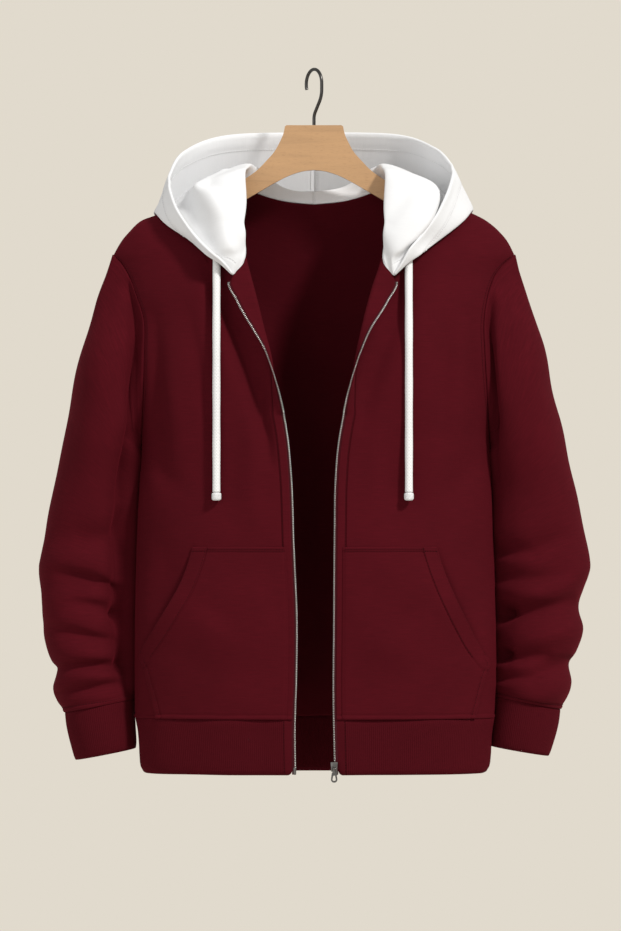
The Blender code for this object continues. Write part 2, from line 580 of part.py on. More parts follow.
def hood_sections(side):
    """The hood's table with its seam column worked out: just above the body's neck edge."""
    sections = []
    for (piece, at), *points in side["hood"]:
        seam = neck_seam(side, piece, at)
        way = np.array(points[0]) - seam
        sections.append([seam + way / np.linalg.norm(way) * HOOD_SEAM, *points])
    return np.array(sections)


def hood_point(side, along, across):
    """A hood half's middle surface: `along` 0 at the front tip, 1 at the crown seam;
    `across` 0 at the neck seam, 1 at the rim."""
    table = hood_sections(side)
    rows = spline(np.linspace(0, 1, len(table)), table.reshape(len(table), -1), along)
    section = rows.reshape(-1, 3)
    steps = np.sqrt(np.linalg.norm(np.diff(section, axis=0), axis=1))
    keys = np.concatenate([[0], np.cumsum(steps)]) / steps.sum()
    return spline(keys, section, across)


def make_hood(side, collection, finish):
    grid = []
    for along in np.linspace(0, 1, 19):
        section = hood_point(side, along, np.linspace(0, 1, 15))
        grid.append([place(side, *point) for point in section])
    return sheet("hood_" + side["name"], np.array(grid), collection, finish, CLOTH,
                 (0, 2, -0.2))


# ---------------------------------------------------------------- zip, cords and hanger

def zip_line(side, z):
    """Middle (out, front) of the toothed edge, just past the cloth's own, and the way it faces."""
    middle = front_edge(side, z, 7, past_cloth=ZIP_STEP)[-1]
    turn, _ = edge_turn(side, z)
    return middle, np.array([-math.cos(turn), math.sin(turn)])


def make_zip_chain(side, collection, finish):
    """One side of the zip as a plain bar along the front edge."""
    levels = edge_levels(side, BAND_Z)
    shape = bmesh.new()
    rings = []
    for z in levels:
        middle, way = zip_line(side, z)
        across = np.array([-way[1], way[0]])
        corners = [middle + way * CHAIN_HALF[0] * a + across * CHAIN_HALF[1] * b
                   for a, b in ((-1, -1), (1, -1), (1, 1), (-1, 1))]
        rings.append([shape.verts.new(place(side, c[0], c[1], z)) for c in corners])
    for upper, lower in zip(rings, rings[1:]):
        for i in range(4):
            j = (i + 1) % 4
            shape.faces.new((upper[i], upper[j], lower[j], lower[i]))
    shape.faces.new(rings[0])
    shape.faces.new(rings[-1][::-1])
    bmesh.ops.recalc_face_normals(shape, faces=shape.faces[:])
    name = "zip_chain_" + side["name"]
    return add_object(name, finish_mesh(shape, name), collection, finish)


def make_cord(side, collection, finish):
    """A drawstring hanging down the front from under the hood's edge."""
    out = side["cord_out"]
    points = []
    for z in np.linspace(*CORD_Z, 15):
        rest = depth(side, out, z, 1) + CLOTH / 2 + CORD_RADIUS + CLEAR
        points.append(place(side, out, float(rest), z))
    return tube("drawstring_" + side["name"], points, CORD_RADIUS, collection, finish)


def make_cord_tip(side, collection, finish):
    """The moulded round end of a drawstring."""
    out = side["cord_out"]
    front = float(depth(side, out, CORD_Z[1], 1)) + CLOTH / 2 + CORD_TIP_RADIUS + CLEAR
    shape = bmesh.new()
    bmesh.ops.create_cone(shape, cap_ends=True, segments=14, radius1=CORD_TIP_RADIUS,
                          radius2=CORD_TIP_RADIUS, depth=CORD_TIP_LENGTH)
    name = "drawstring_tip_" + side["name"]
    made = add_object(name, finish_mesh(shape, name), collection, finish)
    made.location = place(side, out, front, CORD_Z[1] - GAP / 2 - CORD_TIP_LENGTH / 2)
    edge = made.modifiers.new("rim", "BEVEL")
    edge.width = 0.0024
    edge.segments = 2
    edge.limit_method = "ANGLE"
    return made


HANGER_TOP = [  # out, z from the neck block's corner to the arm's tip
    (0.0355, -0.0655), (0.0364, -0.0748), (0.0413, -0.0860), (0.0476, -0.0973),
    (0.0574, -0.1085), (0.0685, -0.1198), (0.0827, -0.1298), (0.1000, -0.1400),
    (0.1370, -0.1590), (0.1914, -0.1818), (0.2070, -0.1905)]
HANGER_TIP = [(0.2150, -0.1990), (0.2165, -0.2080), (0.2080, -0.2120)]
HANGER_BOTTOM = [  # out, z from the tip back to the middle of the lower arch
    (0.1914, -0.2040), (0.1370, -0.1815), (0.0827, -0.1552), (0.0685, -0.1471),
    (0.0476, -0.1350), (0.0283, -0.1254), (0.0124, -0.1206), (0.0000, -0.1192)]


def make_hanger(collection, finish):
    """The flat wooden hanger: its outline, extruded, with rounded edges."""
    half = []
    for rows, count in ((HANGER_TOP, 18), (HANGER_TIP, 4), (HANGER_BOTTOM, 16)):
        keys = np.linspace(0, 1, len(rows))
        half.append(spline(keys, rows, np.linspace(0, 1, count)))
    half = np.concatenate(half)
    outline = [(out, z) for out, z in half] + [(-out, z) for out, z in half[-2::-1]]
    curve = bpy.data.curves.new("hanger", "CURVE")
    curve.dimensions = "2D"
    curve.fill_mode = "BOTH"
    curve.extrude = HANGER_THICKNESS / 2
    path = curve.splines.new("POLY")
    path.points.add(len(outline) - 1)
    path.use_cyclic_u = True
    for point, (x, z) in zip(path.points, outline):
        point.co = (x, z, 0, 1)
    made = add_object("hanger", curve, collection, finish)
    made.rotation_euler = (math.pi / 2, 0, 0)
    weld = made.modifiers.new("weld", "WELD")
    weld.merge_threshold = 0.00005
    edge = made.modifiers.new("edges", "BEVEL")
    edge.width = 0.0018
    edge.segments = 2
    edge.limit_method = "ANGLE"
    edge.angle_limit = math.radians(50)
    return made


def make_hook(collection, finish):
    """The wire hook: up out of the block, out to one side, over the rail and down behind it."""
    shank = [(0.0, -0.0648), (0.0, -0.0560), (0.0030, -0.0490), (0.0105, -0.0390),
             (0.0158, -0.0310), (0.0178, -0.0220)]
    center_z = HOOK_WIRE - HOOK_RADIUS
    bend = [(HOOK_RADIUS * math.cos(a), center_z + HOOK_RADIUS * math.sin(a))
            for a in np.radians(np.arange(0, 201, 20))]
    route = np.array(shank + bend)
    lengths = np.linalg.norm(np.diff(route, axis=0), axis=1)
    keys = np.concatenate([[0], np.cumsum(lengths)])
    path = spline(keys, route, np.linspace(0, keys[-1], 34))
    points = [(r * math.cos(HOOK_TURN), -r * math.sin(HOOK_TURN), z) for r, z in path]
    return tube("hanger_hook", points, HOOK_WIRE, collection, finish)


def block(size, center, corner=0.0, upright=0.0):
    """A block's mesh; `corner` rounds every edge, `upright` only those that run along Y."""
    shape = bmesh.new()
    bmesh.ops.create_cube(shape, size=1)
    bmesh.ops.scale(shape, vec=size, verts=shape.verts)
    bmesh.ops.translate(shape, vec=center, verts=shape.verts)
    if upright:
        along_y = [e for e in shape.edges if abs(e.verts[0].co.y - e.verts[1].co.y) > size[1] / 2]
        bmesh.ops.bevel(shape, geom=along_y, offset=upright, segments=4, profile=0.5,
                        affect="EDGES")
    elif corner:
        bmesh.ops.bevel(shape, geom=shape.edges[:], offset=corner, segments=2, profile=0.5,
                        affect="EDGES")
    return finish_mesh(shape, "block")


def peg(radius, length, center, axis, stretch=1.0):
    """A round peg's mesh along X or Y; `stretch` makes it longer in Z."""
    shape = bmesh.new()
    bmesh.ops.create_cone(shape, cap_ends=True, segments=20, radius1=radius, radius2=radius,
                          depth=length)
    turn = Matrix.Rotation(math.pi / 2, 3, "Y" if axis == "X" else "X")
    bmesh.ops.rotate(shape, verts=shape.verts, cent=(0, 0, 0), matrix=turn)
    bmesh.ops.scale(shape, vec=(1, 1, stretch), verts=shape.verts)
    bmesh.ops.translate(shape, vec=center, verts=shape.verts)
    return finish_mesh(shape, "peg")


def join_or_cut(target, operation, mesh, cutters):
    """Join a mesh to an object, or cut it out of it; both share the object's own place."""
    tool = bpy.data.objects.new(target.name + "_" + operation.lower(), mesh)
    cutters.objects.link(tool)
    tool.location = target.location
    tool.hide_render = True
    tool.display_type = "WIRE"
    change = target.modifiers.new(operation.lower(), "BOOLEAN")
    change.operation = operation
    change.solver = "EXACT"
    change.object = tool


def slider_place():
    """Middle of the slider, whose web lies on the open side of the right chain, and its front."""
    middle, _ = zip_line(RIGHT, SLIDER_Z)
    return np.array(place(RIGHT, middle[0] - 0.0014, middle[1], SLIDER_Z))


def make_slider(collection, cutters, finish):
    """The slider: two plates joined on one side of the chain, and two lugs for the pull tab."""
    size = SLIDER_SIZE
    made = add_object("zip_slider", block(size, (0, 0, 0), corner=0.0010), collection, finish)
    made.location = slider_place()
    slot = block((size[0], SLIDER_SLOT, 2 * size[2]), (0.0026, 0, 0))
    join_or_cut(made, "DIFFERENCE", slot, cutters)
    for sign in (-1, 1):
        lug = block((0.0014, 0.0044, 0.0046),
                    (sign * 0.0030, -size[1] / 2 - 0.0018, PULL_AXIS_Z - SLIDER_Z), corner=0.0005)
        join_or_cut(made, "UNION", lug, cutters)
    return made


def pull_axis():
    """A point on the pull tab's hinge axis, which runs along X."""
    return slider_place() + np.array([0, -SLIDER_SIZE[1] / 2 - 0.0024, PULL_AXIS_Z - SLIDER_Z])


def make_pull(collection, cutters, finish):
    """The pull tab: a plate with a hole, hung from a round knuckle between the lugs."""
    below = -0.0026 - PULL_SIZE[2] / 2
    plate = block(PULL_SIZE, (0, 0, below), upright=0.0026)
    made = add_object("zip_pull", plate, collection, finish)
    made.location = pull_axis()
    join_or_cut(made, "UNION", peg(0.0015, 0.0038, (0, 0, 0), "X"), cutters)
    join_or_cut(made, "UNION", block((0.0034, 0.0012, 0.0040), (0, 0, -0.0022)), cutters)
    hole = peg(0.0018, 0.0100, (0, 0, below - 0.0024), "Y", stretch=1.35)
    join_or_cut(made, "DIFFERENCE", hole, cutters)
    return made


def new_collection(name):
    made = bpy.data.collections.new(name)
    bpy.context.scene.collection.children.link(made)
    return made


def main():
    for old in list(bpy.data.objects):
        bpy.data.objects.remove(old, do_unlink=True)
    garment = new_collection("hooded_sweatshirt_on_hanger")
    cutters = new_collection("cutters")
    maroon = material("maroon_knit", (0.092, 0.006, 0.013), 0.85)
    maroon_rib = material("maroon_rib", (0.080, 0.005, 0.011), 0.85)
    white = material("white_knit", (0.86, 0.86, 0.86), 0.85)
    cord = material("white_cord", (0.88, 0.88, 0.87), 0.7)
    wood = material("beech", (0.63, 0.40, 0.18), 0.5)
    dark_metal = material("dark_metal", (0.11, 0.10, 0.09), 0.3, 1.0)
    silver = material("zip_metal", (0.55, 0.54, 0.52), 0.3, 1.0)

    make_back(garment, maroon)
    make_hem_band(garment, maroon_rib)
    for side in (LEFT, RIGHT):
        make_front(side, garment, maroon)
        make_sleeve(side, garment, maroon)
        make_cuff(side, garment, maroon_rib)
        make_pocket(side, garment, maroon)
        make_hood(side, garment, white)
        make_zip_chain(side, garment, silver)
        make_cord(side, garment, cord)
        make_cord_tip(side, garment, cord)
    make_slider(garment, cutters, dark_metal)
    make_pull(garment, cutters, dark_metal)
    make_hanger(garment, wood)
    make_hook(garment, dark_metal)


main()
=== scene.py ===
"""Zip-up hooded sweatshirt, open at the front, on a wooden hanger.

Metres, +Z up, +X to the viewer's right, -Y to the viewer; the origin is the hook's inner top.
The tables of outlines and folds are in millimetres. There `out` is the distance from the
garment's middle to either side, and `front` is the distance towards the viewer.
"""
import math

import bmesh
import bpy
import numpy as np
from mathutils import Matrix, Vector


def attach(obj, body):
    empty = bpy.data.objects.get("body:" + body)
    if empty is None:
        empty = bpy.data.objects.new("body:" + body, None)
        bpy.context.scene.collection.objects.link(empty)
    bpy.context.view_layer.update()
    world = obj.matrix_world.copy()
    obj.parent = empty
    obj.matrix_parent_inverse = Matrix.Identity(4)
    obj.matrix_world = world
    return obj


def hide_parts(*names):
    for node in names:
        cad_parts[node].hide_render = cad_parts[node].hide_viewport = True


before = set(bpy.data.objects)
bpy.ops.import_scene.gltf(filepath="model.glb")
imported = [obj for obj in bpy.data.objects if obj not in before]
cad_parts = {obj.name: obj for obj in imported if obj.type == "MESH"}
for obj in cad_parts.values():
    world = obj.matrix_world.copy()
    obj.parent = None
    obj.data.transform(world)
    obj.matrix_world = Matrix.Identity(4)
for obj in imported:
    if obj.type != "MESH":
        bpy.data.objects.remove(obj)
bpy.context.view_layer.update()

# ---------------------------------------------------------------- dimensions
CLOTH = 0.0020           # wall of the sweatshirt knit
POCKET_CLOTH = 0.0018
RIB = 0.0020             # wall of the ribbed cuffs and hem
TAPE = 0.0009            # wall of the zip's tape
ON_CLOTH = CLOTH / 2 + 0.0002    # where stitches lie, from the cloth's middle
GAP = 0.0006             # between two edges that meet at a seam
ARMHOLE_SEAM = 0.0012
ZIP_STEP = 0.0032        # from the front's edge to the middle of the teeth
HOOD_SEAM = 0.0016
NECK_POINT = (0.098, -0.134)
SHOULDER_POINT = (0.2403, -0.2215)
ARMPIT_Z = -0.440
NECK_ROLL = (0.082, -0.2255)     # where the front edge begins to turn
ZIP_TOP_Z = -0.252
BACK_NECK_Z = -0.160
HEM_SEAM_Z = -0.7776
BODY_END_Z = HEM_SEAM_Z + GAP / 2
BAND_Z = -0.8436
SHOULDER_FALL = 0.20     # how far below the shoulder line the body reaches its full depth
ROUNDNESS = 2.4          # power of the body's level sections
STRIP = 0.0095           # width of the turned strip beside the zip
ROLL_RADIUS = 0.0030
EDGE_ZONE = 0.0100       # finely divided cloth beside the zip
POCKET_TOP_Z = -0.5724
POCKET_CORNER_Z = -0.7032
POCKET_FULLNESS = 0.0075
CORD_RADIUS = 0.0046
CORD_Z = (-0.2235, -0.5060)
CORD_LENGTH = CORD_Z[0] - CORD_Z[1]
CORD_TIP_RADIUS = 0.0054
CORD_TIP_LENGTH = 0.0100
CLEAR = 0.0006           # between a cord and the cloth under it
RIB_PITCH = 0.0024
RIB_STEPS = 6            # columns to each rib
RIB_HEIGHT = 0.00045
CUFF_RIBS = 104
TOOTH_PITCH = 0.0021
SLIDER_Z = -0.8340
SLIDER_SIZE = (0.0086, 0.0084, 0.0115)
PULL_AXIS_Z = -0.8362
HOOK_WIRE = 0.002
HOOK_RADIUS = 0.0175
HOOK_TURN = math.radians(58)
HANGER_THICKNESS = 0.013
FULL_TURN = 2 * math.pi


def metres(table):
    """A table that is written in millimetres, in metres."""
    if isinstance(table, dict):
        return {key: metres(value) for key, value in table.items()}
    if isinstance(table, (list, tuple)):
        return [metres(value) for value in table]
    return table if isinstance(table, str) else round(table / 1000, 7)


FULLNESS = metres([  # z, front, back
    (-130, 62, 60), (-220, 72, 68), (-320, 83, 74),
    (-450, 86, 76), (-620, 84, 74), (-777.6, 74, 66),
    (-843.6, 68, 60)])
NECK_EDGE = metres([(-134, 98), (-160, 97.5), (-185, 96), (-208, 91), (-225.5, 82)])

LEFT = {"name": "left", "sign": -1, "order": 1, **metres({
    "shoulder": [(98, -134), (137, -153), (191.4, -174.8), (210.7, -183.2),
                 (221.3, -193.8), (231, -205.3), (240.3, -221.5)],
    "side": [(-221.5, 240.3), (-229.2, 232.4), (-240.5, 224.8), (-254.4, 217.8),
             (-265.2, 214.2), (-296.4, 204), (-340, 203), (-384.8, 203.8),
             (-440, 206.6), (-505.2, 210), (-622.8, 214), (-726, 215),
             (-777.6, 214.6)],
    "band": [(-777.6, 213.2), (-789, 210.6), (-805, 209.2), (-828, 208.6),
             (-838, 208), (-843.6, 205.8)],
    "zip_edge": [(-225.5, 82), (-235, 88.5), (-245, 97), (-252, 101.2),
                 (-278.4, 91.8), (-314.4, 71.6), (-335.5, 59.3), (-361.7, 49.3),
                 (-404.4, 38.6), (-438.8, 32.3), (-483.6, 28), (-571.2, 24.6),
                 (-663.6, 21), (-726, 21.6), (-788.4, 23.4), (-843.6, 22.8)],
    "roll": [(-225.5, 82), (-252, 75.2), (-279.2, 68.2), (-314.4, 59.3),
             (-349.7, 50.5), (-364, 48.8), (-385, 48), (-412, 46.4)],
    "pocket": [(-572.4, 144), (-588, 148), (-605, 153.2), (-624, 160.8),
               (-641.6, 169.9), (-670.6, 187.7), (-690.5, 201), (-703.2, 207.2),
               (-716.4, 202.4), (-740.4, 196.2), (-777, 187.8)],
    "cord_out": 116.2,
    # outer out, outer z, inner out, inner z, half depth, how far back the middle lies
    "sleeve": [
        (258.1, -272.6, 209.5, -453, 44, 1),
        (268.4, -307.7, 210.5, -462, 50, 3),
        (278.8, -344.9, 211, -474, 53, 6),
        (289.2, -384.2, 211.5, -490, 54, 10),
        (297.4, -423.5, 212, -508, 54, 13),
        (307.8, -471, 212.5, -535, 53, 16),
        (316, -516, 213, -563, 51.5, 18),
        (322.5, -548, 213.5, -583, 50, 20),
        (328.5, -585, 214, -604, 51, 20),
        (329.3, -601, 214.2, -619, 50, 20),
        (325.2, -632, 214.5, -640, 45.5, 20),
        (327.5, -656, 214.5, -659, 49, 20),
        (326.2, -681, 214.8, -680, 48.5, 20),
        (315, -708, 215, -699, 44, 20),
        (307.5, -720, 215, -711, 42, 20),
        (315, -743, 215, -730, 45.5, 20),
        (311, -758, 215.2, -743, 44, 20),
        (300, -771, 216, -754.5, 39, 20)],
    "cuff": [
        (299.8, -771.3, 216.1, -754.8, 38.4, 20),
        (296.8, -787, 216.3, -770, 38, 20),
        (292.2, -808, 215.8, -792, 37, 20),
        (287.8, -828.8, 215, -814.6, 35.5, 20)],
    "hood": [  # seam, roll, face, bag, outer, rim
        [("front", -246.5), (95.5, 71.6, -245.8), (96.4, 72.6, -246.4),
         (97.6, 72.8, -246.6), (98.4, 73.2, -246), (97.8, 76.2, -245.2)],
        [("front", -236), (85.6, 70.2, -228), (95, 75.6, -225),
         (106, 74, -229), (112.5, 73, -231.8), (108.5, 78.5, -232.2)],
        [("front", -223.5), (82.2, 69, -214), (100, 79, -213),
         (118, 72.5, -219.5), (129, 70, -221), (123.5, 79, -219.5)],
        [("front", -206.5), (81.5, 68, -196), (105, 78, -197),
         (129, 61, -205), (145, 53, -208.5), (138.5, 68, -204.5)],
        [("front", -178), (81.5, 62, -176), (110, 73, -178),
         (140, 49, -188), (162, 41.5, -195.5), (151, 60, -188.5)],
        [("front", -152), (81.5, 50, -148), (123, 60, -150),
         (150, 36, -171), (180, 27.5, -182), (164.5, 50, -167)],
        [("front", -140), (82.5, 34, -123), (138, 40, -138.5),
         (156, 10, -150), (191.5, 3, -170.5), (172.2, 36, -145.5)],
        [("back", 97.5), (79.5, 12, -116.5), (123, 14, -130),
         (152, -26, -163), (189, -15, -176), (173.5, 25, -135)],
        [("back", 84), (74, -16, -113), (105, -15, -120.5),
         (145, -62, -188), (183, -38, -185), (172.4, 12, -123)],
        [("back", 70), (62, -29, -127), (76, -33, -115),
         (120, -82, -250), (156, -80, -215), (156, -19, -96)],
        [("back", 40), (36, -40, -140), (42, -45, -138),
         (72, -92, -305), (100, -115, -235), (105, -57, -75.5)],
        [("back", 0.3), (0.3, -43, -144), (0.3, -50, -148),
         (0.3, -94, -330), (0.3, -128, -240), (0.3, -80, -70.7)]],
})}

RIGHT = {"name": "right", "sign": 1, "order": 2, **metres({
    "shoulder": [(98, -134), (137, -152), (190.7, -172.5), (207.1, -181.2),
                 (222.2, -193.9), (232.4, -206.5), (240.3, -221.5)],
    "side": [(-221.5, 240.3), (-233.3, 226.4), (-243.5, 218.1), (-262.2, 209.9),
             (-280.8, 205.5), (-300, 203), (-340, 204), (-378, 206.2),
             (-440, 210.5), (-516, 213.8), (-652.8, 217.8), (-744, 218),
             (-777.6, 216)],
    "band": [(-777.6, 215), (-786, 212.6), (-797, 210.8), (-828, 210),
             (-838, 209.4), (-843.6, 207.2)],
    "zip_edge": [(-225.5, 82), (-235, 86.8), (-245, 94.5), (-252, 98.4),
                 (-278.9, 87.6), (-312.6, 67.4), (-331.1, 58.9), (-353, 50.5),
                 (-369.8, 45.5), (-410.4, 36.5), (-451.7, 29.3), (-494.4, 26),
                 (-552, 25), (-663.6, 24.2), (-746.4, 23.6), (-843.6, 25.6)],
    "roll": [(-225.5, 82), (-250.3, 74.2), (-277.2, 65.8), (-310.9, 57.2),
             (-346.2, 50), (-369.8, 47), (-390, 46.5), (-412, 45.7)],
    "pocket": [(-572.4, 145.6), (-599.8, 153), (-620, 160), (-641.5, 169),
               (-662.5, 179.6), (-683.3, 191), (-699, 201.8), (-709.4, 209),
               (-726, 203.6), (-742.5, 199.4), (-777, 191.6)],
    "cord_out": 113,
    "sleeve": [
        (251.3, -260.2, 214, -452, 43, 1),
        (263.6, -297.4, 214.8, -461, 50, 3),
        (276, -338.8, 215.2, -473, 53, 6),
        (286.4, -378, 215.2, -489, 54, 10),
        (296.8, -425.5, 215.6, -508, 54, 13),
        (307.1, -471, 216, -535, 53, 16),
        (316.3, -516, 216.5, -560, 51.5, 18),
        (323, -550, 216.8, -583, 50.5, 20),
        (329, -586, 217.2, -604, 51.5, 20),
        (329.8, -603, 217.4, -619, 50, 20),
        (325.5, -625, 217.6, -635, 46.5, 20),
        (319, -645, 217.6, -650, 44, 20),
        (322.5, -672, 217.8, -672, 48, 20),
        (315, -697, 217.8, -693, 45, 20),
        (306.8, -713, 217.8, -707, 41.5, 20),
        (310.8, -735, 217.8, -725, 45, 20),
        (306, -753, 217.8, -739, 43, 20),
        (296.8, -767, 218, -752, 39, 20)],
    "cuff": [
        (296.6, -767.3, 217.6, -752.3, 38.4, 20),
        (293.5, -783, 216, -768, 38, 20),
        (288.4, -804, 213.6, -790, 37, 20),
        (283.2, -824, 211.8, -811.6, 35.5, 20)],
    "hood": [
        [("front", -247.5), (94, 71.6, -246.6), (94.9, 72.6, -247.2),
         (96, 72.8, -247.4), (96.8, 73.2, -246.8), (96.2, 76.2, -246)],
        [("front", -236), (85.2, 70.2, -228.5), (93, 75.8, -227),
         (100, 71.5, -230), (110.5, 72, -233), (105.5, 78.5, -232)],
        [("front", -223.5), (83.8, 69, -214), (104, 79, -216),
         (110.5, 70, -220), (126, 69, -221.5), (115, 79, -215.5)],
        [("front", -206.5), (83.6, 68, -196), (123, 77, -200.5),
         (126.5, 60, -205), (143, 53, -209), (131.5, 70, -196.5)],
        [("front", -178), (84.2, 62, -176), (138.5, 70, -180),
         (141, 48, -188), (162, 41.5, -194.5), (146.2, 63, -176)],
        [("front", -152), (84.5, 50, -148), (147, 54, -150.5),
         (150, 34, -170), (179.5, 27, -180), (159, 51, -149.5)],
        [("front", -140), (85.2, 34, -124), (138, 36, -134.5),
         (155, 10, -149), (190, 3, -167.6), (166, 37, -127.5)],
        [("back", 97.5), (82.5, 12, -117), (124, 13, -127.5),
         (152, -26, -163), (188.5, -15, -173), (165.5, 25, -119)],
        [("back", 84), (78, -16, -113), (106, -15, -119),
         (145, -62, -188), (184, -38, -180), (163, 12, -111)],
        [("back", 70), (64, -29, -127), (78, -33, -115),
         (120, -82, -250), (156, -80, -215), (145, -19, -91.5)],
        [("back", 40), (36, -40, -140), (42, -45, -138),
         (72, -92, -305), (100, -115, -235), (100, -57, -74.5)],
        [("back", 0.3), (0.3, -43, -144), (0.3, -50, -148),
         (0.3, -94, -330), (0.3, -128, -240), (0.3, -80, -70.7)]],
})}


# ---------------------------------------------------------------- curves and surfaces

def spline(keys, values, at):
    """Read a smooth curve through `values` at rising `keys`."""
    keys = np.asarray(keys, float)
    values = np.asarray(values, float)
    at = np.clip(np.asarray(at, float), keys[0], keys[-1])
    slopes = np.gradient(values, keys, axis=0)
    low = np.clip(np.searchsorted(keys, at, side="right") - 1, 0, len(keys) - 2)
    step = keys[low + 1] - keys[low]
    t = (at - keys[low]) / step
    if values.ndim > 1:
        step, t = step[..., None], t[..., None]
    return ((1 + 2 * t) * (1 - t) ** 2 * values[low] + t * (1 - t) ** 2 * step * slopes[low]
            + t * t * (3 - 2 * t) * values[low + 1] + t * t * (t - 1) * step * slopes[low + 1])


def down_table(rows, z, column=1):
    """Read a column of a table whose first column is z, from the top down."""
    rows = np.asarray(rows, float)
    return spline(-rows[:, 0], rows[:, column], -np.asarray(z, float))


def rising(x, start, over):
    """0 up to `start`, then a smooth rise to 1 over a stretch."""
    x = np.clip((x - start) / over, 0, 1)
    return x * x * (3 - 2 * x)


def falling(x, end, over):
    """1, then a smooth fall over a stretch to 0 at `end`."""
    return rising(-x, -end, over)


def stretches(*parts):
    """Even steps through stretches that share their ends, each (from, to, how many)."""
    return np.concatenate([np.linspace(*part)[:-1] for part in parts[:-1]]
                          + [np.linspace(*parts[-1])])


def unit(ways):
    return ways / np.maximum(np.linalg.norm(ways, axis=-1, keepdims=True), 1e-12)


def steps_along(path):
    """Distance along a path at each of its points."""
    lengths = np.linalg.norm(np.diff(path, axis=0), axis=1)
    return np.concatenate([[0], np.cumsum(lengths)])


def read_along(values, steps, at):
    """Values that are known at steps along a path, read at other places along it."""
    return np.stack([np.interp(at, steps, column) for column in np.asarray(values).T], axis=1)


def from_start(grid):
    """Distance of each point from the first column, along its row."""
    return np.array([steps_along(row) for row in grid])


def from_edge(grid):
    """Distance of each point from the last column, along its row."""
    return from_start(grid[:, ::-1])[:, ::-1]


def spread(first, second):
    """Two fields that go with the same rows and columns, as one field of pairs."""
    return np.stack(np.broadcast_arrays(first, second), axis=-1)


def shoulder_z(side, out):
    rows = np.asarray(side["shoulder"])
    return spline(rows[:, 0], rows[:, 1], np.maximum(out, rows[0, 0]))


def edge_out(side, z):
    """Outer edge of the body: shoulder line, armhole, side or hem band."""
    if z >= SHOULDER_POINT[1]:
        dense = np.linspace(NECK_POINT[0], SHOULDER_POINT[0], 300)
        return np.interp(-z, -shoulder_z(side, dense), dense)
    return down_table(side["side" if z >= HEM_SEAM_Z else "band"], z)


def half_width(side, z):
    """Half the width that the body's level section would have if it went on into the sleeve."""
    if z >= SHOULDER_POINT[1]:
        return SHOULDER_POINT[0] + 0.35 * (z - SHOULDER_POINT[1])
    share = min(1.0, (SHOULDER_POINT[1] - z) / (SHOULDER_POINT[1] - ARMPIT_Z))
    return edge_out(side, z) + 0.078 * share * (1 - share) ** 1.2


def depth(side, out, z, face):
    """Distance from the shoulder's plane to the front (face 1) or back (face 2) at a place."""
    width = half_width(side, z)
    across = np.sqrt(np.maximum(0, 1 - (np.minimum(out, width) / width) ** ROUNDNESS))
    below = np.clip((shoulder_z(side, out) - z) / SHOULDER_FALL, 0, 1)
    down = np.sqrt(1 - (1 - below) ** 2)
    return GAP + down_table(FULLNESS, z, face) * across * down


def zip_out(side, z):
    return down_table(side["zip_edge"], z)


def roll_out(side, z):
    """Where the front edge's strip turns: the roll line, then the strip's row of stitches."""
    if z >= side["roll"][-1][0]:
        return down_table(side["roll"], z)
    return zip_out(side, z) + STRIP


def edge_turn(side, z):
    """How the strip beyond the roll lies: its turn, 0 flat and pi folded back, and its length."""
    past = zip_out(side, z) - roll_out(side, z)
    own = STRIP * falling(z, NECK_ROLL[1], NECK_ROLL[1] - ZIP_TOP_Z)
    length = (past ** 4 + own ** 4) ** 0.25 if past > 0 else own
    turn = math.acos(float(np.clip(-past / max(length, 1e-6), -1, 1)))
    return turn, float(length + ROLL_RADIUS * math.cos(turn))


def front_edge(side, z, count, past_cloth=0.0):
    """The last points (out, front) of a level row of a front, evenly along the cloth."""
    if z >= NECK_ROLL[1]:
        out = down_table(NECK_EDGE, z) + np.linspace(EDGE_ZONE, 0, count)
        return np.stack([out, depth(side, out, z, 1)], axis=1)
    turn, free = edge_turn(side, z)
    start = EDGE_ZONE - ROLL_RADIUS
    arc = ROLL_RADIUS * turn
    along = np.linspace(0, start + arc + max(0.0, free - ZIP_STEP) + past_cloth, count)
    swept = np.clip((along - start) / ROLL_RADIUS, 0, turn)
    tail = np.maximum(0, along - start - arc)
    out = (roll_out(side, z) + EDGE_ZONE - np.minimum(along, start)
           - ROLL_RADIUS * np.sin(swept) - tail * math.cos(turn))
    lift = ROLL_RADIUS * (1 - np.cos(swept)) + tail * math.sin(turn)
    return np.stack([out, depth(side, out, z, 1) + lift], axis=1)


def place(side, out, front, z):
    return (side["sign"] * out, -front, z)


def placed_row(side, outs, fronts, z):
    return [place(side, out, front, z) for out, front in zip(outs, fronts)]


def turned(side, points):
    """Points given as (out, front, z), in the scene's own axes."""
    return points * np.array([side["sign"], -1, 1])


def back_top(side, out):
    if out >= NECK_POINT[0]:
        return float(shoulder_z(side, out))
    hollow = 1 - (out / NECK_POINT[0]) ** 2
    return NECK_POINT[1] + (BACK_NECK_Z - NECK_POINT[1]) * hollow


def armhole(side, angles):
    """The armhole's edge as a ring: over the front, under the arm, up the back."""
    ring = []
    for angle in angles:
        z = SHOULDER_POINT[1] + (ARMPIT_Z - SHOULDER_POINT[1]) * (1 - math.cos(angle)) / 2
        out = float(edge_out(side, z))
        face, way = (1, 1) if angle <= math.pi else (2, -1)
        ring.append((out, way * float(depth(side, out, z, face)), z))
    return np.array(ring)


def ellipse_ring(section, angles):
    outer_out, outer_z, inner_out, inner_z, half, back = section
    middle = np.array([(outer_out + inner_out) / 2, -back, (outer_z + inner_z) / 2])
    reach = np.array([(outer_out - inner_out) / 2, 0, (outer_z - inner_z) / 2])
    forward = np.array([0, half, 0])
    return np.array([middle + reach * math.cos(a) + forward * math.sin(a) for a in angles])


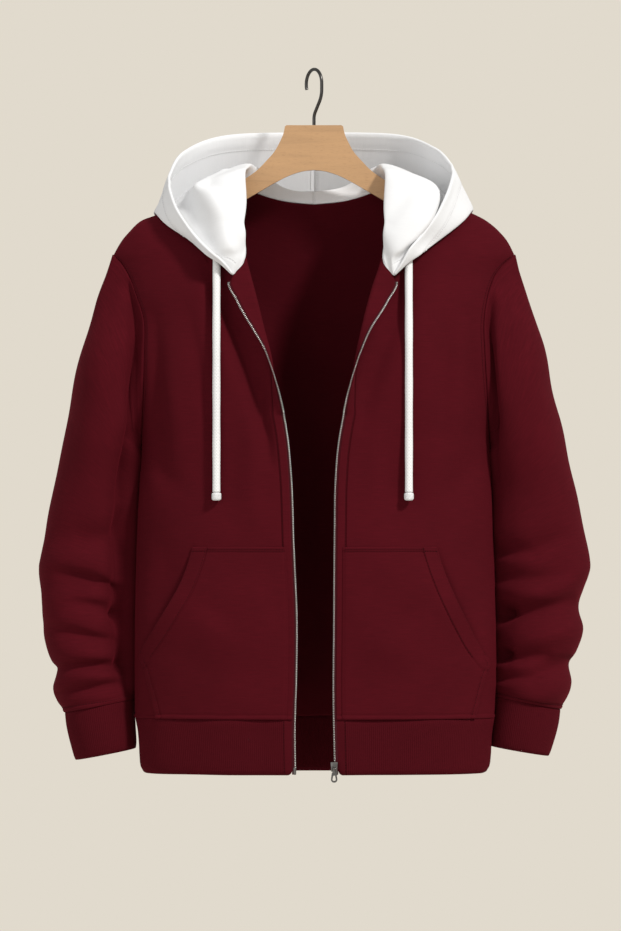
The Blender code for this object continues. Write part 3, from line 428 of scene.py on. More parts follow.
def sleeve_ring(side, key, angles):
    """Sleeve ring at a place down the sleeve: 0 is the armhole, then one for each table row."""
    sections = np.array(side["sleeve"])
    top = np.array([(*SHOULDER_POINT, float(edge_out(side, ARMPIT_Z)), ARMPIT_Z, 0.036, 0.0)])
    keys = np.arange(len(sections) + 1)
    section = spline(keys, np.concatenate([top, sections]), key)
    ring = ellipse_ring(section, angles)
    fade = max(0.0, 1 - key / 3.0) ** 1.5
    if fade > 0:
        ring = ring + fade * (armhole(side, angles) - ellipse_ring(top[0], angles))
    return ring


def off_front(side, out, z, lift):
    """Points of the front moved square off its level section by `lift`."""
    small = 0.0005
    front = depth(side, out, z, 1)
    slope = (front - depth(side, out - small, z, 1)) / small
    length = np.sqrt(1 + slope ** 2)
    return out - lift * slope / length, front + lift / length


def pocket_lift(across, z):
    """How far a pocket's middle stands off the front: sewn flat, but full at its open side."""
    down = np.clip((POCKET_TOP_Z - z) / (POCKET_TOP_Z - HEM_SEAM_Z), 0, 1)
    to_corner = np.clip((POCKET_TOP_Z - z) / (POCKET_TOP_Z - POCKET_CORNER_Z), 0, 1)
    opened = np.sin(math.pi * to_corner) ** 1.3
    shut_full = 0.75 * np.sin(math.pi * across) * (1 - opened)
    open_full = np.sin(math.pi * np.minimum(1, 1.1 * across) / 2) * opened
    return CLOTH + POCKET_FULLNESS * np.sin(math.pi * down) ** 0.7 * (shut_full + open_full)


def neck_seam(side, piece, at):
    if piece == "back":
        z = back_top(side, at)
        return np.array([at, -depth(side, at, z, 2), z])
    return np.array([*front_edge(side, at, 7)[-1], at])


def hood_grid(side, rows, columns):
    """A hood half's middle surface: rows from the front tip to the crown seam, columns from the
    neck seam to the rim."""
    table = []
    for (piece, at), *points in side["hood"]:
        seam = neck_seam(side, piece, at)
        table.append([seam + unit(np.array(points[0]) - seam) * HOOD_SEAM, *points])
    table = np.array(table).reshape(len(table), -1)
    grid = []
    for row in spline(np.linspace(0, 1, len(table)), table, np.linspace(0, 1, rows)):
        section = row.reshape(-1, 3)
        steps = np.sqrt(np.linalg.norm(np.diff(section, axis=0), axis=1))
        keys = np.concatenate([[0], np.cumsum(steps)]) / steps.sum()
        grid.append(spline(keys, section, np.linspace(0, 1, columns)))
    return turned(side, np.array(grid))


# ---------------------------------------------------------------- folds

def to_stroke(points, path):
    """Distance of each point from a path, how far along the path, and on which side of it."""
    path = np.asarray(path, float)
    steps = steps_along(path)
    best = np.full(points.shape[:-1], np.inf)
    along = np.zeros(points.shape[:-1])
    flank = np.zeros(points.shape[:-1])
    for i, (a, b) in enumerate(zip(path, path[1:])):
        length = np.linalg.norm(b - a)
        way = (b - a) / length
        t = np.clip(((points - a) * way).sum(-1), 0, length)
        gap = points - (a + t[..., None] * way)
        distance = np.linalg.norm(gap, axis=-1)
        near = distance < best
        best = np.where(near, distance, best)
        along = np.where(near, (steps[i] + t) / steps[-1], along)
        cross = way[0] * gap[..., 1] - way[1] * gap[..., 0]
        flank = np.where(near, np.sign(cross), flank)
    return best, along, flank


def crease(points, height, width, path, lean=0):
    """A soft ridge, or a trough where height is negative, over a flat map of a piece.

    Lean makes one flank steeper than the other, and the height fades towards both ends.
    """
    distance, along, flank = to_stroke(points, path)
    profile = np.exp(-(distance / (width * (1 + lean * flank))) ** 2)
    return height * profile * np.sin(math.pi * np.clip(0.08 + 0.92 * along, 0, 1)) ** 0.8


def creases(points, strokes):
    """Sum of the creases of a table, each (height, width, lean, path) in millimetres."""
    return sum(crease(points, metres(height), metres(width), metres(path), lean)
               for height, width, lean, path in strokes)


def waves(points, seed, size, count=14):
    """Smooth uneven swelling of about unit height, the same each run."""
    draw = np.random.default_rng(seed)
    total = np.zeros(points.shape[:-1])
    for _ in range(count):
        way = draw.normal(size=2)
        way *= draw.uniform(0.5, 1.3) / np.linalg.norm(way) * FULL_TURN / size
        total += np.sin((points * way).sum(-1) + draw.uniform(0, FULL_TURN))
    return total / math.sqrt(count)


def groove(distance, at, width, height):
    return -height * np.exp(-((distance - at) / width) ** 2)


def hem_ridge(above, line=0.0052, width=0.0012):
    """The plump last millimetres of cloth above a seam to a rib, and the sewn line over them."""
    return 0.0008 * falling(above, 0.0042, 0.0016) + groove(above, line, width, 0.0004)


# ---------------------------------------------------------------- meshes

def facing(grid, outside, around=False):
    """Normals of the grid's outer face, the one that the point `outside` sees."""
    if around:
        across = (np.roll(grid, -1, axis=1) - np.roll(grid, 1, axis=1)) / 2
    else:
        across = np.gradient(grid, axis=1)
    normal = unit(np.cross(across, np.gradient(grid, axis=0)))
    r, c = grid.shape[0] // 2, 0 if around else grid.shape[1] // 2
    return normal * np.sign(normal[r, c] @ (np.asarray(outside) - grid[r, c]))


def add_mesh(name, vertices, faces, finish, uvs=None):
    mesh = bpy.data.meshes.new(name)
    mesh.from_pydata(np.asarray(vertices).tolist(), [], [list(f) for f in faces])
    if uvs is not None:
        layer = mesh.uv_layers.new(name="cloth")
        loops = np.empty(len(mesh.loops), dtype=np.int32)
        mesh.loops.foreach_get("vertex_index", loops)
        layer.data.foreach_set("uv", np.asarray(uvs, np.float32)[loops].ravel())
    mesh.validate()
    mesh.shade_smooth()
    made = bpy.data.objects.new(name, mesh)
    bpy.context.scene.collection.objects.link(made)
    mesh.materials.append(finish)
    return made


def face_out(made, fill=False):
    """Turn every face of a closed piece outward, once any small open corners are filled."""
    shape = bmesh.new()
    shape.from_mesh(made.data)
    open_edges = [edge for edge in shape.edges if edge.is_boundary]
    if fill and open_edges:
        bmesh.ops.holes_fill(shape, edges=open_edges, sides=8)
    bmesh.ops.recalc_face_normals(shape, faces=shape.faces[:])
    if fill:
        for face in shape.faces:
            face.smooth = True
    shape.to_mesh(made.data)
    shape.free()


def here_and_beside(grid, around):
    return (grid, np.roll(grid, -1, axis=1)) if around else (grid[:, :-1], grid[:, 1:])


def quads_of(index, around):
    """Faces between the rows and columns of a grid of vertex numbers."""
    here, beside = here_and_beside(index, around)
    return np.stack([here[:-1], beside[:-1], beside[1:], here[1:]], axis=-1).reshape(-1, 4)


def shell(name, grid, thickness, finish, outside, around=False, swell=None):
    """A cloth wall with rounded edges round a grid of middle points.

    The point `outside` sees its outer face; `swell` adds to the outer face only.
    """
    rows, columns = grid.shape[:2]
    normal = facing(grid, outside, around)
    half = np.broadcast_to(np.asarray(thickness, float), (rows, columns))[..., None] / 2
    extra = np.zeros((rows, columns, 1)) if swell is None else swell[..., None]
    middle = columns // 2
    width = from_start(grid)
    length = steps_along(grid[:, middle])[:, None]
    uv = spread(width - width[:, middle:middle + 1], length).reshape(-1, 2)
    vertices = [(grid + normal * (half + extra)).reshape(-1, 3),
                (grid - normal * half).reshape(-1, 3)]
    uvs = [uv, uv]
    index = np.arange(rows * columns).reshape(rows, columns)
    quads = quads_of(index, around)
    faces = [quads, (quads + rows * columns)[:, ::-1]]
    count = 2 * rows * columns
    borders = [(index[0], grid[0] - grid[1], 1, around),
               (index[-1], grid[-1] - grid[-2], -1, around)]
    if not around:
        borders += [(index[:, 0], grid[:, 0] - grid[:, 1], -1, False),
                    (index[:, -1], grid[:, -1] - grid[:, -2], 1, False)]
    points, halves = grid.reshape(-1, 3), half.reshape(-1)
    for top, way, turn, closed in borders:
        vertices.append(points[top] + unit(way) * halves[top][:, None] * 0.8)
        uvs.append(uv[top])
        nose = np.arange(count, count + len(top))
        count += len(top)
        stop = len(top) if closed else len(top) - 1
        for a, b in ((top, nose), (nose, top + rows * columns)):
            a2, b2 = np.roll(a, -1)[:stop], np.roll(b, -1)[:stop]
            quad = np.stack([a[:stop], b[:stop], b2, a2], axis=-1)
            faces.append(quad if turn > 0 else quad[:, ::-1])
    made = add_mesh(name, np.concatenate(vertices), np.concatenate(faces), finish,
                    np.concatenate(uvs))
    face_out(made, fill=True)
    return made


def copies(name, form, places, finish):
    """Many copies of one small form in one piece; a place is (origin, x axis, y axis, z axis)."""
    points, faces = form
    points = np.asarray(points, float)
    all_points = []
    all_faces = []
    for i, (origin, x, y, z) in enumerate(places):
        all_points.append(points @ np.stack([x, y, z]) + origin)
        all_faces += [tuple(i * len(points) + v for v in face) for face in faces]
    return add_mesh(name, np.concatenate(all_points), all_faces, finish)


def frame_along(path, outward):
    """Axes at each point of a path: along it, across it and out of the surface."""
    way = unit(np.gradient(path, axis=0))
    up = unit(outward - (outward * way).sum(1, keepdims=True) * way)
    return way, np.cross(up, way), up


def finish_piece(piece, slot, *nodes, body="garment"):
    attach(piece, body)
    if nodes:
        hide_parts(*nodes)


def stitch_form():
    """One stitch: a short thread, plump in the middle and sunk at both ends."""
    sides = 6
    rings = [(-0.50, 0.22, -0.45), (-0.36, 0.85, 0.0), (0.0, 1.0, 0.30), (0.36, 0.85, 0.0),
             (0.50, 0.22, -0.45)]
    turns = [k * FULL_TURN / sides for k in range(sides)]
    points = [(x, radius * math.cos(turn), lift + radius * math.sin(turn))
              for x, radius, lift in rings for turn in turns]
    index = np.arange(len(points)).reshape(len(rings), sides)
    faces = [tuple(quad) for quad in quads_of(index, True).tolist()]
    return points, faces + [tuple(index[0, ::-1].tolist()), tuple(index[-1].tolist())]


def stitches(name, lines, finish, slot):
    """Rows of stitches that ride with the cloth; each line is (points, outward directions)."""
    length, gap, radius = 0.0026, 0.0008, 0.00032
    points, faces = stitch_form()
    places = []
    for path, outward in lines:
        steps = steps_along(path)
        number = max(1, int(steps[-1] / (length + gap)))
        if number < 2:
            continue
        at = (np.arange(number) + 0.5) * steps[-1] / number
        spots = read_along(path, steps, at)
        way, across, up = frame_along(spots, read_along(outward, steps, at))
        places += list(zip(spots + up * radius * 0.55, way, across, up))
    form = np.array(points) * (length, radius, radius), faces
    finish_piece(copies(name, form, places, finish), slot)


# ---------------------------------------------------------------- materials

def new_material(name):
    made = bpy.data.materials.new(name)
    made.use_nodes = True
    return made, made.node_tree, made.node_tree.nodes["Principled BSDF"]


def set_inputs(tree, made, inputs):
    """Give a node its inputs, each a plain value or another node's output."""
    for key, value in inputs.items():
        if isinstance(value, bpy.types.NodeSocket):
            tree.links.new(value, made.inputs[key])
        else:
            made.inputs[key].default_value = value


def node(tree, kind, inputs=None, **settings):
    made = tree.nodes.new("ShaderNode" + kind)
    for key, value in settings.items():
        setattr(made, key, value)
    set_inputs(tree, made, inputs or {})
    return made


def noise(tree, where, scale, detail, roughness=0.5, distortion=0.0):
    return node(tree, "TexNoise", {"Vector": where, "Scale": scale, "Detail": detail,
                                   "Roughness": roughness, "Distortion": distortion}).outputs[0]


def stretched(tree, where, scale, rotation=(0, 0, 0)):
    made = node(tree, "Mapping", {"Vector": where, "Scale": scale, "Rotation": rotation})
    return made.outputs["Vector"]


def object_space(tree):
    return node(tree, "TexCoord").outputs["Object"]


def cloth_space(tree):
    return node(tree, "UVMap", uv_map="cloth").outputs["UV"]


def bump(tree, height, strength, distance):
    return node(tree, "Bump", {"Height": height, "Strength": strength,
                               "Distance": distance}).outputs["Normal"]


def ramp(tree, value, *stops):
    made = node(tree, "ValToRGB", {"Fac": value})
    for _ in range(len(stops) - 2):
        made.color_ramp.elements.new(0.5)
    for element, (position, color) in zip(made.color_ramp.elements, stops):
        element.position = position
        element.color = (*color, 1)
    return made.outputs["Color"]


def shade(color, by):
    return tuple(min(1.0, c * by) for c in color)


def knit(name, color, streak=0.12, sheen=0.14, course=0.0011):
    """Brushed sweatshirt knit: fine level courses, soft streaks, mottling and fuzz."""
    made, tree, shader = new_material(name)
    cloth, space = cloth_space(tree), object_space(tree)
    streaks = noise(tree, stretched(tree, cloth, (45, 1100, 1)), 1.0, 3.0, 0.6)
    blotch = noise(tree, space, 16.0, 4.0, 0.55)
    mix = node(tree, "Math", {0: blotch, 1: 0.45, 2: streaks}, operation="MULTIPLY_ADD")
    loops = stretched(tree, cloth, (1 / course, 1 / course, 1))
    rows = node(tree, "TexWave", {"Vector": loops, "Scale": 0.3183, "Distortion": 1.2,
                                  "Detail": 2.0, "Detail Scale": 1.6},
                wave_type="BANDS", bands_direction="Y")
    fuzz = noise(tree, space, 1500.0, 3.0, 0.7)
    height = node(tree, "Math", {0: fuzz, 1: 1.0, 2: rows.outputs["Fac"]},
                  operation="MULTIPLY_ADD")
    set_inputs(tree, shader, {
        "Base Color": ramp(tree, mix.outputs["Value"], (0.48, shade(color, 1 - streak)),
                           (0.72, color), (0.98, shade(color, 1 + streak * 1.6))),
        "Normal": bump(tree, height.outputs["Value"], 0.30, 0.00025),
        "Roughness": 0.92, "Specular IOR Level": 0.08,
        "Sheen Weight": sheen, "Sheen Roughness": 0.45,
        "Sheen Tint": (*shade(color, 0.75 / max(color)), 1)})
    return made


def thread(name, color, roughness=0.75):
    """Sewing thread or cord yarn, with a fine twist."""
    made, tree, shader = new_material(name)
    twist = noise(tree, object_space(tree), 900.0, 2.0)
    set_inputs(tree, shader, {
        "Base Color": ramp(tree, twist, (0.35, shade(color, 0.86)), (0.65, shade(color, 1.08))),
        "Normal": bump(tree, twist, 0.25, 0.0001),
        "Roughness": roughness, "Specular IOR Level": 0.12})
    return made


def braid(name, color):
    """Braided cotton: slanting yarns both ways round the cord, from its own map."""
    made, tree, shader = new_material(name)
    cloth = cloth_space(tree)
    lays = [node(tree, "TexWave", {"Vector": stretched(tree, cloth, (1, lean, 1)),
                                   "Scale": 160.0, "Distortion": 0.3},
                 wave_type="BANDS", bands_direction="DIAGONAL").outputs["Fac"]
            for lean in (1, -1)]
    weave = node(tree, "Math", {0: lays[0], 1: lays[1]}, operation="MAXIMUM").outputs["Value"]
    set_inputs(tree, shader, {
        "Base Color": ramp(tree, weave, (0.1, shade(color, 0.80)), (0.8, color)),
        "Normal": bump(tree, weave, 0.5, 0.0003),
        "Roughness": 0.85, "Specular IOR Level": 0.25, "Sheen Weight": 0.25})
    return made


def metal(name, color, roughness):
    made, tree, shader = new_material(name)
    wear = noise(tree, object_space(tree), 420.0, 4.0, 0.6)
    rough = node(tree, "MapRange", {"Value": wear, "To Min": roughness - 0.06,
                                    "To Max": roughness + 0.12})
    set_inputs(tree, shader, {
        "Base Color": ramp(tree, wear, (0.30, shade(color, 0.8)), (0.70, shade(color, 1.15))),
        "Normal": bump(tree, wear, 0.08, 0.0001),
        "Roughness": rough.outputs["Result"], "Metallic": 1.0})
    return made


def beech_wood(color):
    """Lacquered beech: level grain with short dark flecks."""
    made, tree, shader = new_material("hanger_beech")
    space = object_space(tree)
    along = stretched(tree, space, (5, 5, 60), (0, math.radians(6), 0))
    grain = noise(tree, along, 1.6, 6.0, 0.62, 0.6)
    fleck = noise(tree, stretched(tree, space, (150, 150, 1400)), 1.0, 2.0)
    tone = ramp(tree, grain, (0.28, shade(color, 0.80)), (0.46, shade(color, 0.95)),
                (0.60, color), (0.78, shade(color, 1.08)))
    dark = ramp(tree, fleck, (0.30, (0.72, 0.66, 0.60)), (0.42, (1.0, 1.0, 1.0)))
    both = node(tree, "Mix", data_type="RGBA", blend_type="MULTIPLY")
    set_inputs(tree, both, {"Factor": 0.55, 6: tone, 7: dark})
    set_inputs(tree, shader, {
        "Base Color": both.outputs[2], "Normal": bump(tree, grain, 0.12, 0.0002),
        "Roughness": 0.42, "Coat Weight": 0.18, "Coat Roughness": 0.25})
    return made


MAROON = (0.0700, 0.0032, 0.0071)
maroon_knit = knit("maroon_fleece_knit", MAROON)
maroon_rib = knit("maroon_rib_knit", shade(MAROON, 0.92), streak=0.08, course=0.0012)
white_knit = knit("white_fleece_knit", (0.86, 0.862, 0.868), streak=0.015, sheen=0.04)
maroon_thread = thread("maroon_sewing_thread", (0.048, 0.0026, 0.0052), 0.9)
white_thread = thread("white_sewing_thread", (0.80, 0.80, 0.80))
zip_tape = thread("maroon_zip_tape", (0.055, 0.006, 0.010), 0.9)
white_braid = braid("white_braided_cord", (0.90, 0.90, 0.89))
white_tip = thread("white_moulded_tip", (0.86, 0.86, 0.86), 0.45)
beech = beech_wood((0.572, 0.334, 0.163))
dark_nickel = metal("dark_nickel_plate", (0.20, 0.19, 0.18), 0.30)
hook_steel = metal("dark_hook_steel", (0.10, 0.095, 0.09), 0.28)
zip_silver = metal("silver_zip_teeth", (0.62, 0.61, 0.58), 0.28)


# ---------------------------------------------------------------- camera and cords

def add_camera():
    view = bpy.data.cameras.new("camera")
    view.sensor_fit = "HORIZONTAL"
    view.sensor_width = 36.0
    view.lens = 385.5
    view.clip_end = 60.0
    made = bpy.data.objects.new("camera", view)
    bpy.context.scene.collection.objects.link(made)
    made.location = (-0.0042, -8.0, -0.4746)
    made.rotation_euler = (math.pi / 2, 0, 0)
    bpy.context.scene.camera = made


def cord_path(side, count):
    """The drawstring's middle line, hanging down the front from under the hood's edge."""
    points = []
    for z in np.linspace(*CORD_Z, count):
        rest = depth(side, side["cord_out"], z, 1) + CLOTH / 2 + CORD_RADIUS + CLEAR
        points.append(place(side, side["cord_out"], float(rest), z))
    return np.array(points)


def add_cord(side):
    """A braided drawstring with its moulded end."""
    knots, rows, columns, strands, pitch = 30, 430, 40, 8, 0.0125
    coarse = cord_path(side, knots)
    keys = np.linspace(0, 1, rows)
    path = spline(np.linspace(0, 1, knots), coarse, keys)
    turns = np.arange(columns) * FULL_TURN / columns
    down = (keys * CORD_LENGTH)[:, None]
    lays = [np.cos(strands * (turns + way * FULL_TURN * down / pitch)) for way in (1, -1)]
    radius = CORD_RADIUS - 0.0002 + 0.00022 * np.maximum(*lays) + 0.00010 * np.sin(down * 90.0)
    way = unit(np.gradient(path, axis=0))
    first = unit(np.cross(way, (0.0, -1.0, 0.0)))
    second = np.cross(way, first)
    ring = (np.cos(turns)[:, None] * first[:, None] + np.sin(turns)[:, None] * second[:, None])
    ring = ring * radius[..., None] * (1.02, 1, 1)
    grid = path[:, None] + ring
    index = np.arange(rows * columns).reshape(rows, columns)
    faces = quads_of(index, True).tolist() + [index[0, ::-1].tolist(), index[-1].tolist()]
    cord = add_mesh("drawstring_cord_" + side["name"], grid.reshape(-1, 3), faces, white_braid,
                    spread(turns * CORD_RADIUS, down).reshape(-1, 2))
    face_out(cord)
    finish_piece(cord, "white_cord", "drawstring_" + side["name"])
    tip = add_cord_tip(side, path[-1])


def start_piece():
    bpy.ops.object.select_all(action="DESELECT")


def edit_all():
    """Enter edit mode with everything selected."""
    bpy.ops.object.mode_set(mode="EDIT")
    bpy.ops.mesh.select_all(action="SELECT")


def end_piece(name, finish, smooth=40, at=None):
    """Leave edit mode, place and name a hand-made piece and give it its finish."""
    bpy.ops.object.mode_set(mode="OBJECT")
    made = bpy.context.view_layer.objects.active
    if at is not None:
        made.location = at
    bpy.ops.object.transform_apply(location=True, rotation=True, scale=True)
    bpy.ops.object.shade_smooth_by_angle(angle=math.radians(smooth))
    made.name = made.data.name = name
    made.data.materials.clear()
    made.data.materials.append(finish)
    face_out(made)
    made.select_set(False)
    return made


def pick(kind, test):
    """In edit mode, select just the vertices, edges or faces that pass a test."""
    bpy.ops.mesh.select_all(action="DESELECT")
    mesh = bpy.context.view_layer.objects.active.data
    shape = bmesh.from_edit_mesh(mesh)
    for part in getattr(shape, kind):
        part.select = bool(test(part))
    if kind == "verts":
        shape.select_flush(True)
    bmesh.update_edit_mesh(mesh)


def sharp(limit):
    return lambda edge: edge.calc_face_angle(0) > limit


def round_off(by, segments, **more):
    bpy.ops.mesh.bevel(offset=by, segments=segments, affect="EDGES", **more)


def add_cord_tip(side, end):
    """The drawstring's moulded round end: a short barrel with soft edges and a waist."""
    start_piece()
    middle = (end[0], end[1], end[2] - GAP / 2 - CORD_TIP_LENGTH / 2)
    bpy.ops.mesh.primitive_cylinder_add(vertices=28, radius=CORD_TIP_RADIUS,
                                        depth=CORD_TIP_LENGTH, location=middle)
    edit_all()
    round_off(0.0024, 5)
    pick("verts", lambda vertex: vertex.co.z > CORD_TIP_LENGTH * 0.42)
    bpy.ops.transform.resize(value=(0.88, 0.88, 1.0))
    tip = end_piece("drawstring_end_" + side["name"], white_tip, 60)
    finish_piece(tip, "white_cord", "drawstring_tip_" + side["name"])
    return tip


add_camera()
for each_side in (LEFT, RIGHT):
    add_cord(each_side)


# ---------------------------------------------------------------- cloth pieces

FRONT_FOLDS = {
    "left": [  # height, width, lean, path of (out, z)
        (-2.2, 10, 0.2, [(150, -290), (140, -340), (128, -400), (118, -460)]),
        (-3.5, 12, 0, [(192, -300), (190, -360), (186, -430), (178, -500)]),
        (2.2, 14, 0, [(172, -320), (168, -390), (160, -470)]),
        (-2, 14, 0, [(205, -455), (178, -490), (150, -510)]),
        (-1.6, 16, 0, [(190, -540), (178, -600), (182, -660)]),
        (2, 18, 0, [(62, -420), (70, -500), (64, -560)]),
        (-1.8, 16, 0, [(92, -440), (98, -500), (100, -560)])],
    "right": [
        (-2.2, 12, 0.2, [(165, -262), (160, -320), (155, -390), (150, -460)]),
        (-3.5, 12, 0, [(192, -300), (192, -360), (190, -430), (182, -500)]),
        (2.2, 14, 0, [(176, -310), (174, -390), (168, -470)]),
        (-2, 14, 0, [(207, -455), (182, -492), (152, -515)]),
        (-1.6, 16, 0, [(196, -540), (186, -600), (190, -660)]),
        (2, 18, 0, [(64, -400), (72, -480), (66, -550)]),
        (-1.8, 16, 0, [(92, -450), (96, -510), (98, -560)])],
}


def front_grid(side):
    """Dense level rows of a front: a wide stretch, then a fine one round the zip's edge."""
    samples, edge_columns = 90, 44
    share = np.concatenate([[0, 0.008, 0.03], np.linspace(0.055, 1, 78, endpoint=False) ** 1.15])
    fine_z = HEM_SEAM_Z + 0.012
    rows = []
    for z in stretches((NECK_POINT[1] - 0.0030, ZIP_TOP_Z, 48), (ZIP_TOP_Z, fine_z, 138),
                       (fine_z, BODY_END_Z, 14)):
        edge = front_edge(side, z, samples)
        start = edge_out(side, z)
        if edge[0, 0] > start - EDGE_ZONE:
            neck = down_table(NECK_EDGE, z)
            edge[:, 0] = neck + (start - neck) * np.linspace(0.4, 0, samples)
            edge[:, 1] = depth(side, edge[:, 0], z, 1)
        out = start + (edge[0, 0] - start) * share
        front = depth(side, out, z, 1)
        steps = steps_along(edge)
        edge = read_along(edge, steps, np.linspace(0, steps[-1], edge_columns))
        rows.append(placed_row(side, out, front, z) + placed_row(side, *edge.T, z))
    return np.array(rows)


def nearest(grid, spots):
    """Distance from each point of a grid to the nearest of some spots."""
    return np.min([np.linalg.norm(grid - spot, axis=-1) for spot in spots], axis=0)


def flat_map(grid, side=None):
    """Front view of a grid: (out, z), or (x, z) without a side."""
    return spread(grid[..., 0] if side is None else grid[..., 0] * side["sign"], grid[..., 2])


def line_on(grid, normal, row, column, lift=0.0):
    """A path over a grid at given, possibly fractional, rows and columns, and its normals."""
    row, column = (a.astype(float) for a in np.broadcast_arrays(row, column))
    r = np.clip(row.astype(int), 0, grid.shape[0] - 2)
    c = np.clip(column.astype(int), 0, grid.shape[1] - 2)
    fr, fc = (row - r)[:, None], (column - c)[:, None]

    def read(field):
        return ((1 - fr) * (1 - fc) * field[r, c] + (1 - fr) * fc * field[r, c + 1]
                + fr * (1 - fc) * field[r + 1, c] + fr * fc * field[r + 1, c + 1])
    up = read(normal)
    return read(grid) + up * lift, up


def line_at(cloth, distance, value, rows, lift):
    """A path down some rows of a cloth (grid, normals), where a distance has a value."""
    found = []
    for row in distance[rows]:
        way = -1 if row[0] > row[-1] else 1
        found.append(np.interp(way * value, way * row, np.arange(len(row))))
    return line_on(*cloth, rows, np.array(found), lift)


def row_above(grid, column, distance):
    """The fractional row that lies a distance before the last one."""
    return len(grid) - 1 - distance / np.linalg.norm(grid[-1, column] - grid[-2, column])


def add_front(side):
    name = side["name"]
    grid = front_grid(side)
    outside = (side["sign"] * 0.15, -2, -0.5)
    to_edge, to_side, z = from_edge(grid), from_start(grid), grid[..., 2]
    view = flat_map(grid, side)
    fold = 1.3 * creases(view, FRONT_FOLDS[name])
    fold += 0.0011 * waves(flat_map(grid), 10 + side["order"], 0.14)
    calm = rising(to_edge, 0.012, 0.04) * rising(to_side, 0, 0.02) * rising(z, HEM_SEAM_Z, 0.03)
    mouth = [(out, level) for level, out in side["pocket"] if level >= POCKET_CORNER_Z]
    under = crease(view, -0.0022, 0.0040, mouth)
    under += creases(view, LAPEL_VALLEY[name]) * rising(to_edge, 0.008, 0.014)
    grid = grid + facing(grid, outside) * (fold * calm + under)[..., None]
    strip = falling(to_edge, STRIP, 0.0012) * 0.0006 + groove(to_edge, STRIP, 0.0009, 0.0012)
    swell = np.where(z < ZIP_TOP_Z + 0.004, strip, 0.0)
    swell += groove(to_side, 0.0, 0.0022, 0.0007) + hem_ridge(z - BODY_END_Z)
    piece = shell("front_panel_" + name, grid, CLOTH, maroon_knit, outside, swell=swell)
    finish_piece(piece, "maroon_knit", "front_" + name)
    cloth, level = (grid, facing(grid, outside)), z[:, 0]
    zipped = np.flatnonzero(level < ZIP_TOP_Z + 0.002)
    hang = np.flatnonzero((level < SHOULDER_POINT[1]) & (level > ARMPIT_Z - 0.01))
    stitches("front_stitches_" + name,
             [line_at(cloth, to_edge, STRIP - 0.0004, zipped, ON_CLOTH),
              line_at(cloth, to_side, 0.0042, hang, CLOTH / 2)], maroon_thread, "maroon_knit")


POCKET_FOLDS = [  # height, width, lean, path of (out, z)
    (-1.6, 14, 0, [(150, -620), (120, -650), (85, -668)]),
    (-1.2, 16, 0, [(165, -700), (120, -725), (70, -732)]),
    (1.4, 18, 0, [(140, -650), (100, -690), (60, -700)])
]


def add_pocket(side):
    name = side["name"]
    top_end, low_start = POCKET_TOP_Z - 0.009, HEM_SEAM_Z + 0.011
    levels = stretches((POCKET_TOP_Z, top_end, 12), (top_end, low_start, 104),
                       (low_start, HEM_SEAM_Z + GAP, 13))
    across = stretches((0, 0.04, 5), (0.04, 0.78, 45), (0.78, 1, 36))
    rows = []
    for z in levels:
        inner = roll_out(side, z) + 0.0004
        out = inner + (down_table(side["pocket"], z) - inner) * across
        rows.append(placed_row(side, *off_front(side, out, z, pocket_lift(across, z)), z))
    grid = np.array(rows)
    outside = (side["sign"] * 0.12, -2, -0.65)
    to_top = POCKET_TOP_Z - grid[..., 2]
    down = to_top / (POCKET_TOP_Z - HEM_SEAM_Z)
    soft = 0.0009 * waves(flat_map(grid), 20 + side["order"], 0.09)
    soft += creases(flat_map(grid, side), POCKET_FOLDS)
    calm = np.sin(math.pi * np.clip(down, 0, 1)) * rising(across, 0, 0.15)
    grid = grid + facing(grid, outside) * (soft * calm)[..., None]
    to_slant = nearest(grid, grid[levels > POCKET_CORNER_Z, -1][::3])
    to_side = nearest(grid, grid[levels <= POCKET_CORNER_Z, -1][::3])
    swell = 0.0006 * np.maximum(falling(to_slant, 0.0180, 0.0014),
                                falling(to_side, 0.0070, 0.0014))
    swell += groove(to_slant, 0.0180, 0.0009, 0.0009) + groove(to_top, 0.0050, 0.0009, 0.0007)
    swell += groove(from_start(grid), 0.0012, 0.0010, 0.0010)
    swell += groove(to_side, 0.0074, 0.0009, 0.0008)
    swell += hem_ridge(grid[..., 2] - BODY_END_Z)
    piece = shell("pocket_panel_" + name, grid, POCKET_CLOTH, maroon_knit, outside, swell=swell)
    finish_piece(piece, "maroon_knit", "pocket_" + name)
    cloth = grid, facing(grid, outside)
    lift = POCKET_CLOTH / 2 + 0.0002
    opened = np.flatnonzero(levels > POCKET_CORNER_Z - 0.002)
    shut = np.flatnonzero(levels < POCKET_CORNER_Z - 0.003)
    lines = [line_at(cloth, to_slant, value, opened, lift) for value in (0.0020, 0.0168)]
    lines += [line_at(cloth, to_side, value, shut, lift) for value in (0.0020, 0.0060)]
    for value in (0.0018, 0.0044):
        row = np.interp(value, levels[0] - levels, np.arange(len(levels)))
        lines.append(line_on(*cloth, row, np.arange(1, len(across) - 1), lift))
    stitches("pocket_stitches_" + name, lines, maroon_thread, "maroon_knit")


BACK_FOLDS = [  # height, width, lean, path of (x, z)
    (-5, 16, 0, [(60, -330), (74, -450), (66, -580), (72, -700)]),
    (-4.5, 17, 0, [(-70, -300), (-60, -430), (-78, -560), (-70, -690)]),
    (4, 20, 0, [(4, -380), (-6, -520), (6, -690)]),
    (-4.5, 13, 0, [(200, -430), (160, -480), (120, -505)]),
    (-4.5, 13, 0, [(-200, -430), (-158, -476), (-122, -510)]),
    (3.5, 16, 0, [(140, -330), (150, -460), (140, -600)]),
    (3.5, 16, 0, [(-142, -340), (-150, -470), (-138, -610)])
]


def slowing(count):
    """Steps from 0 to 1 that grow shorter towards 1."""
    return np.sin(np.linspace(0, 1, count) * math.pi / 2)


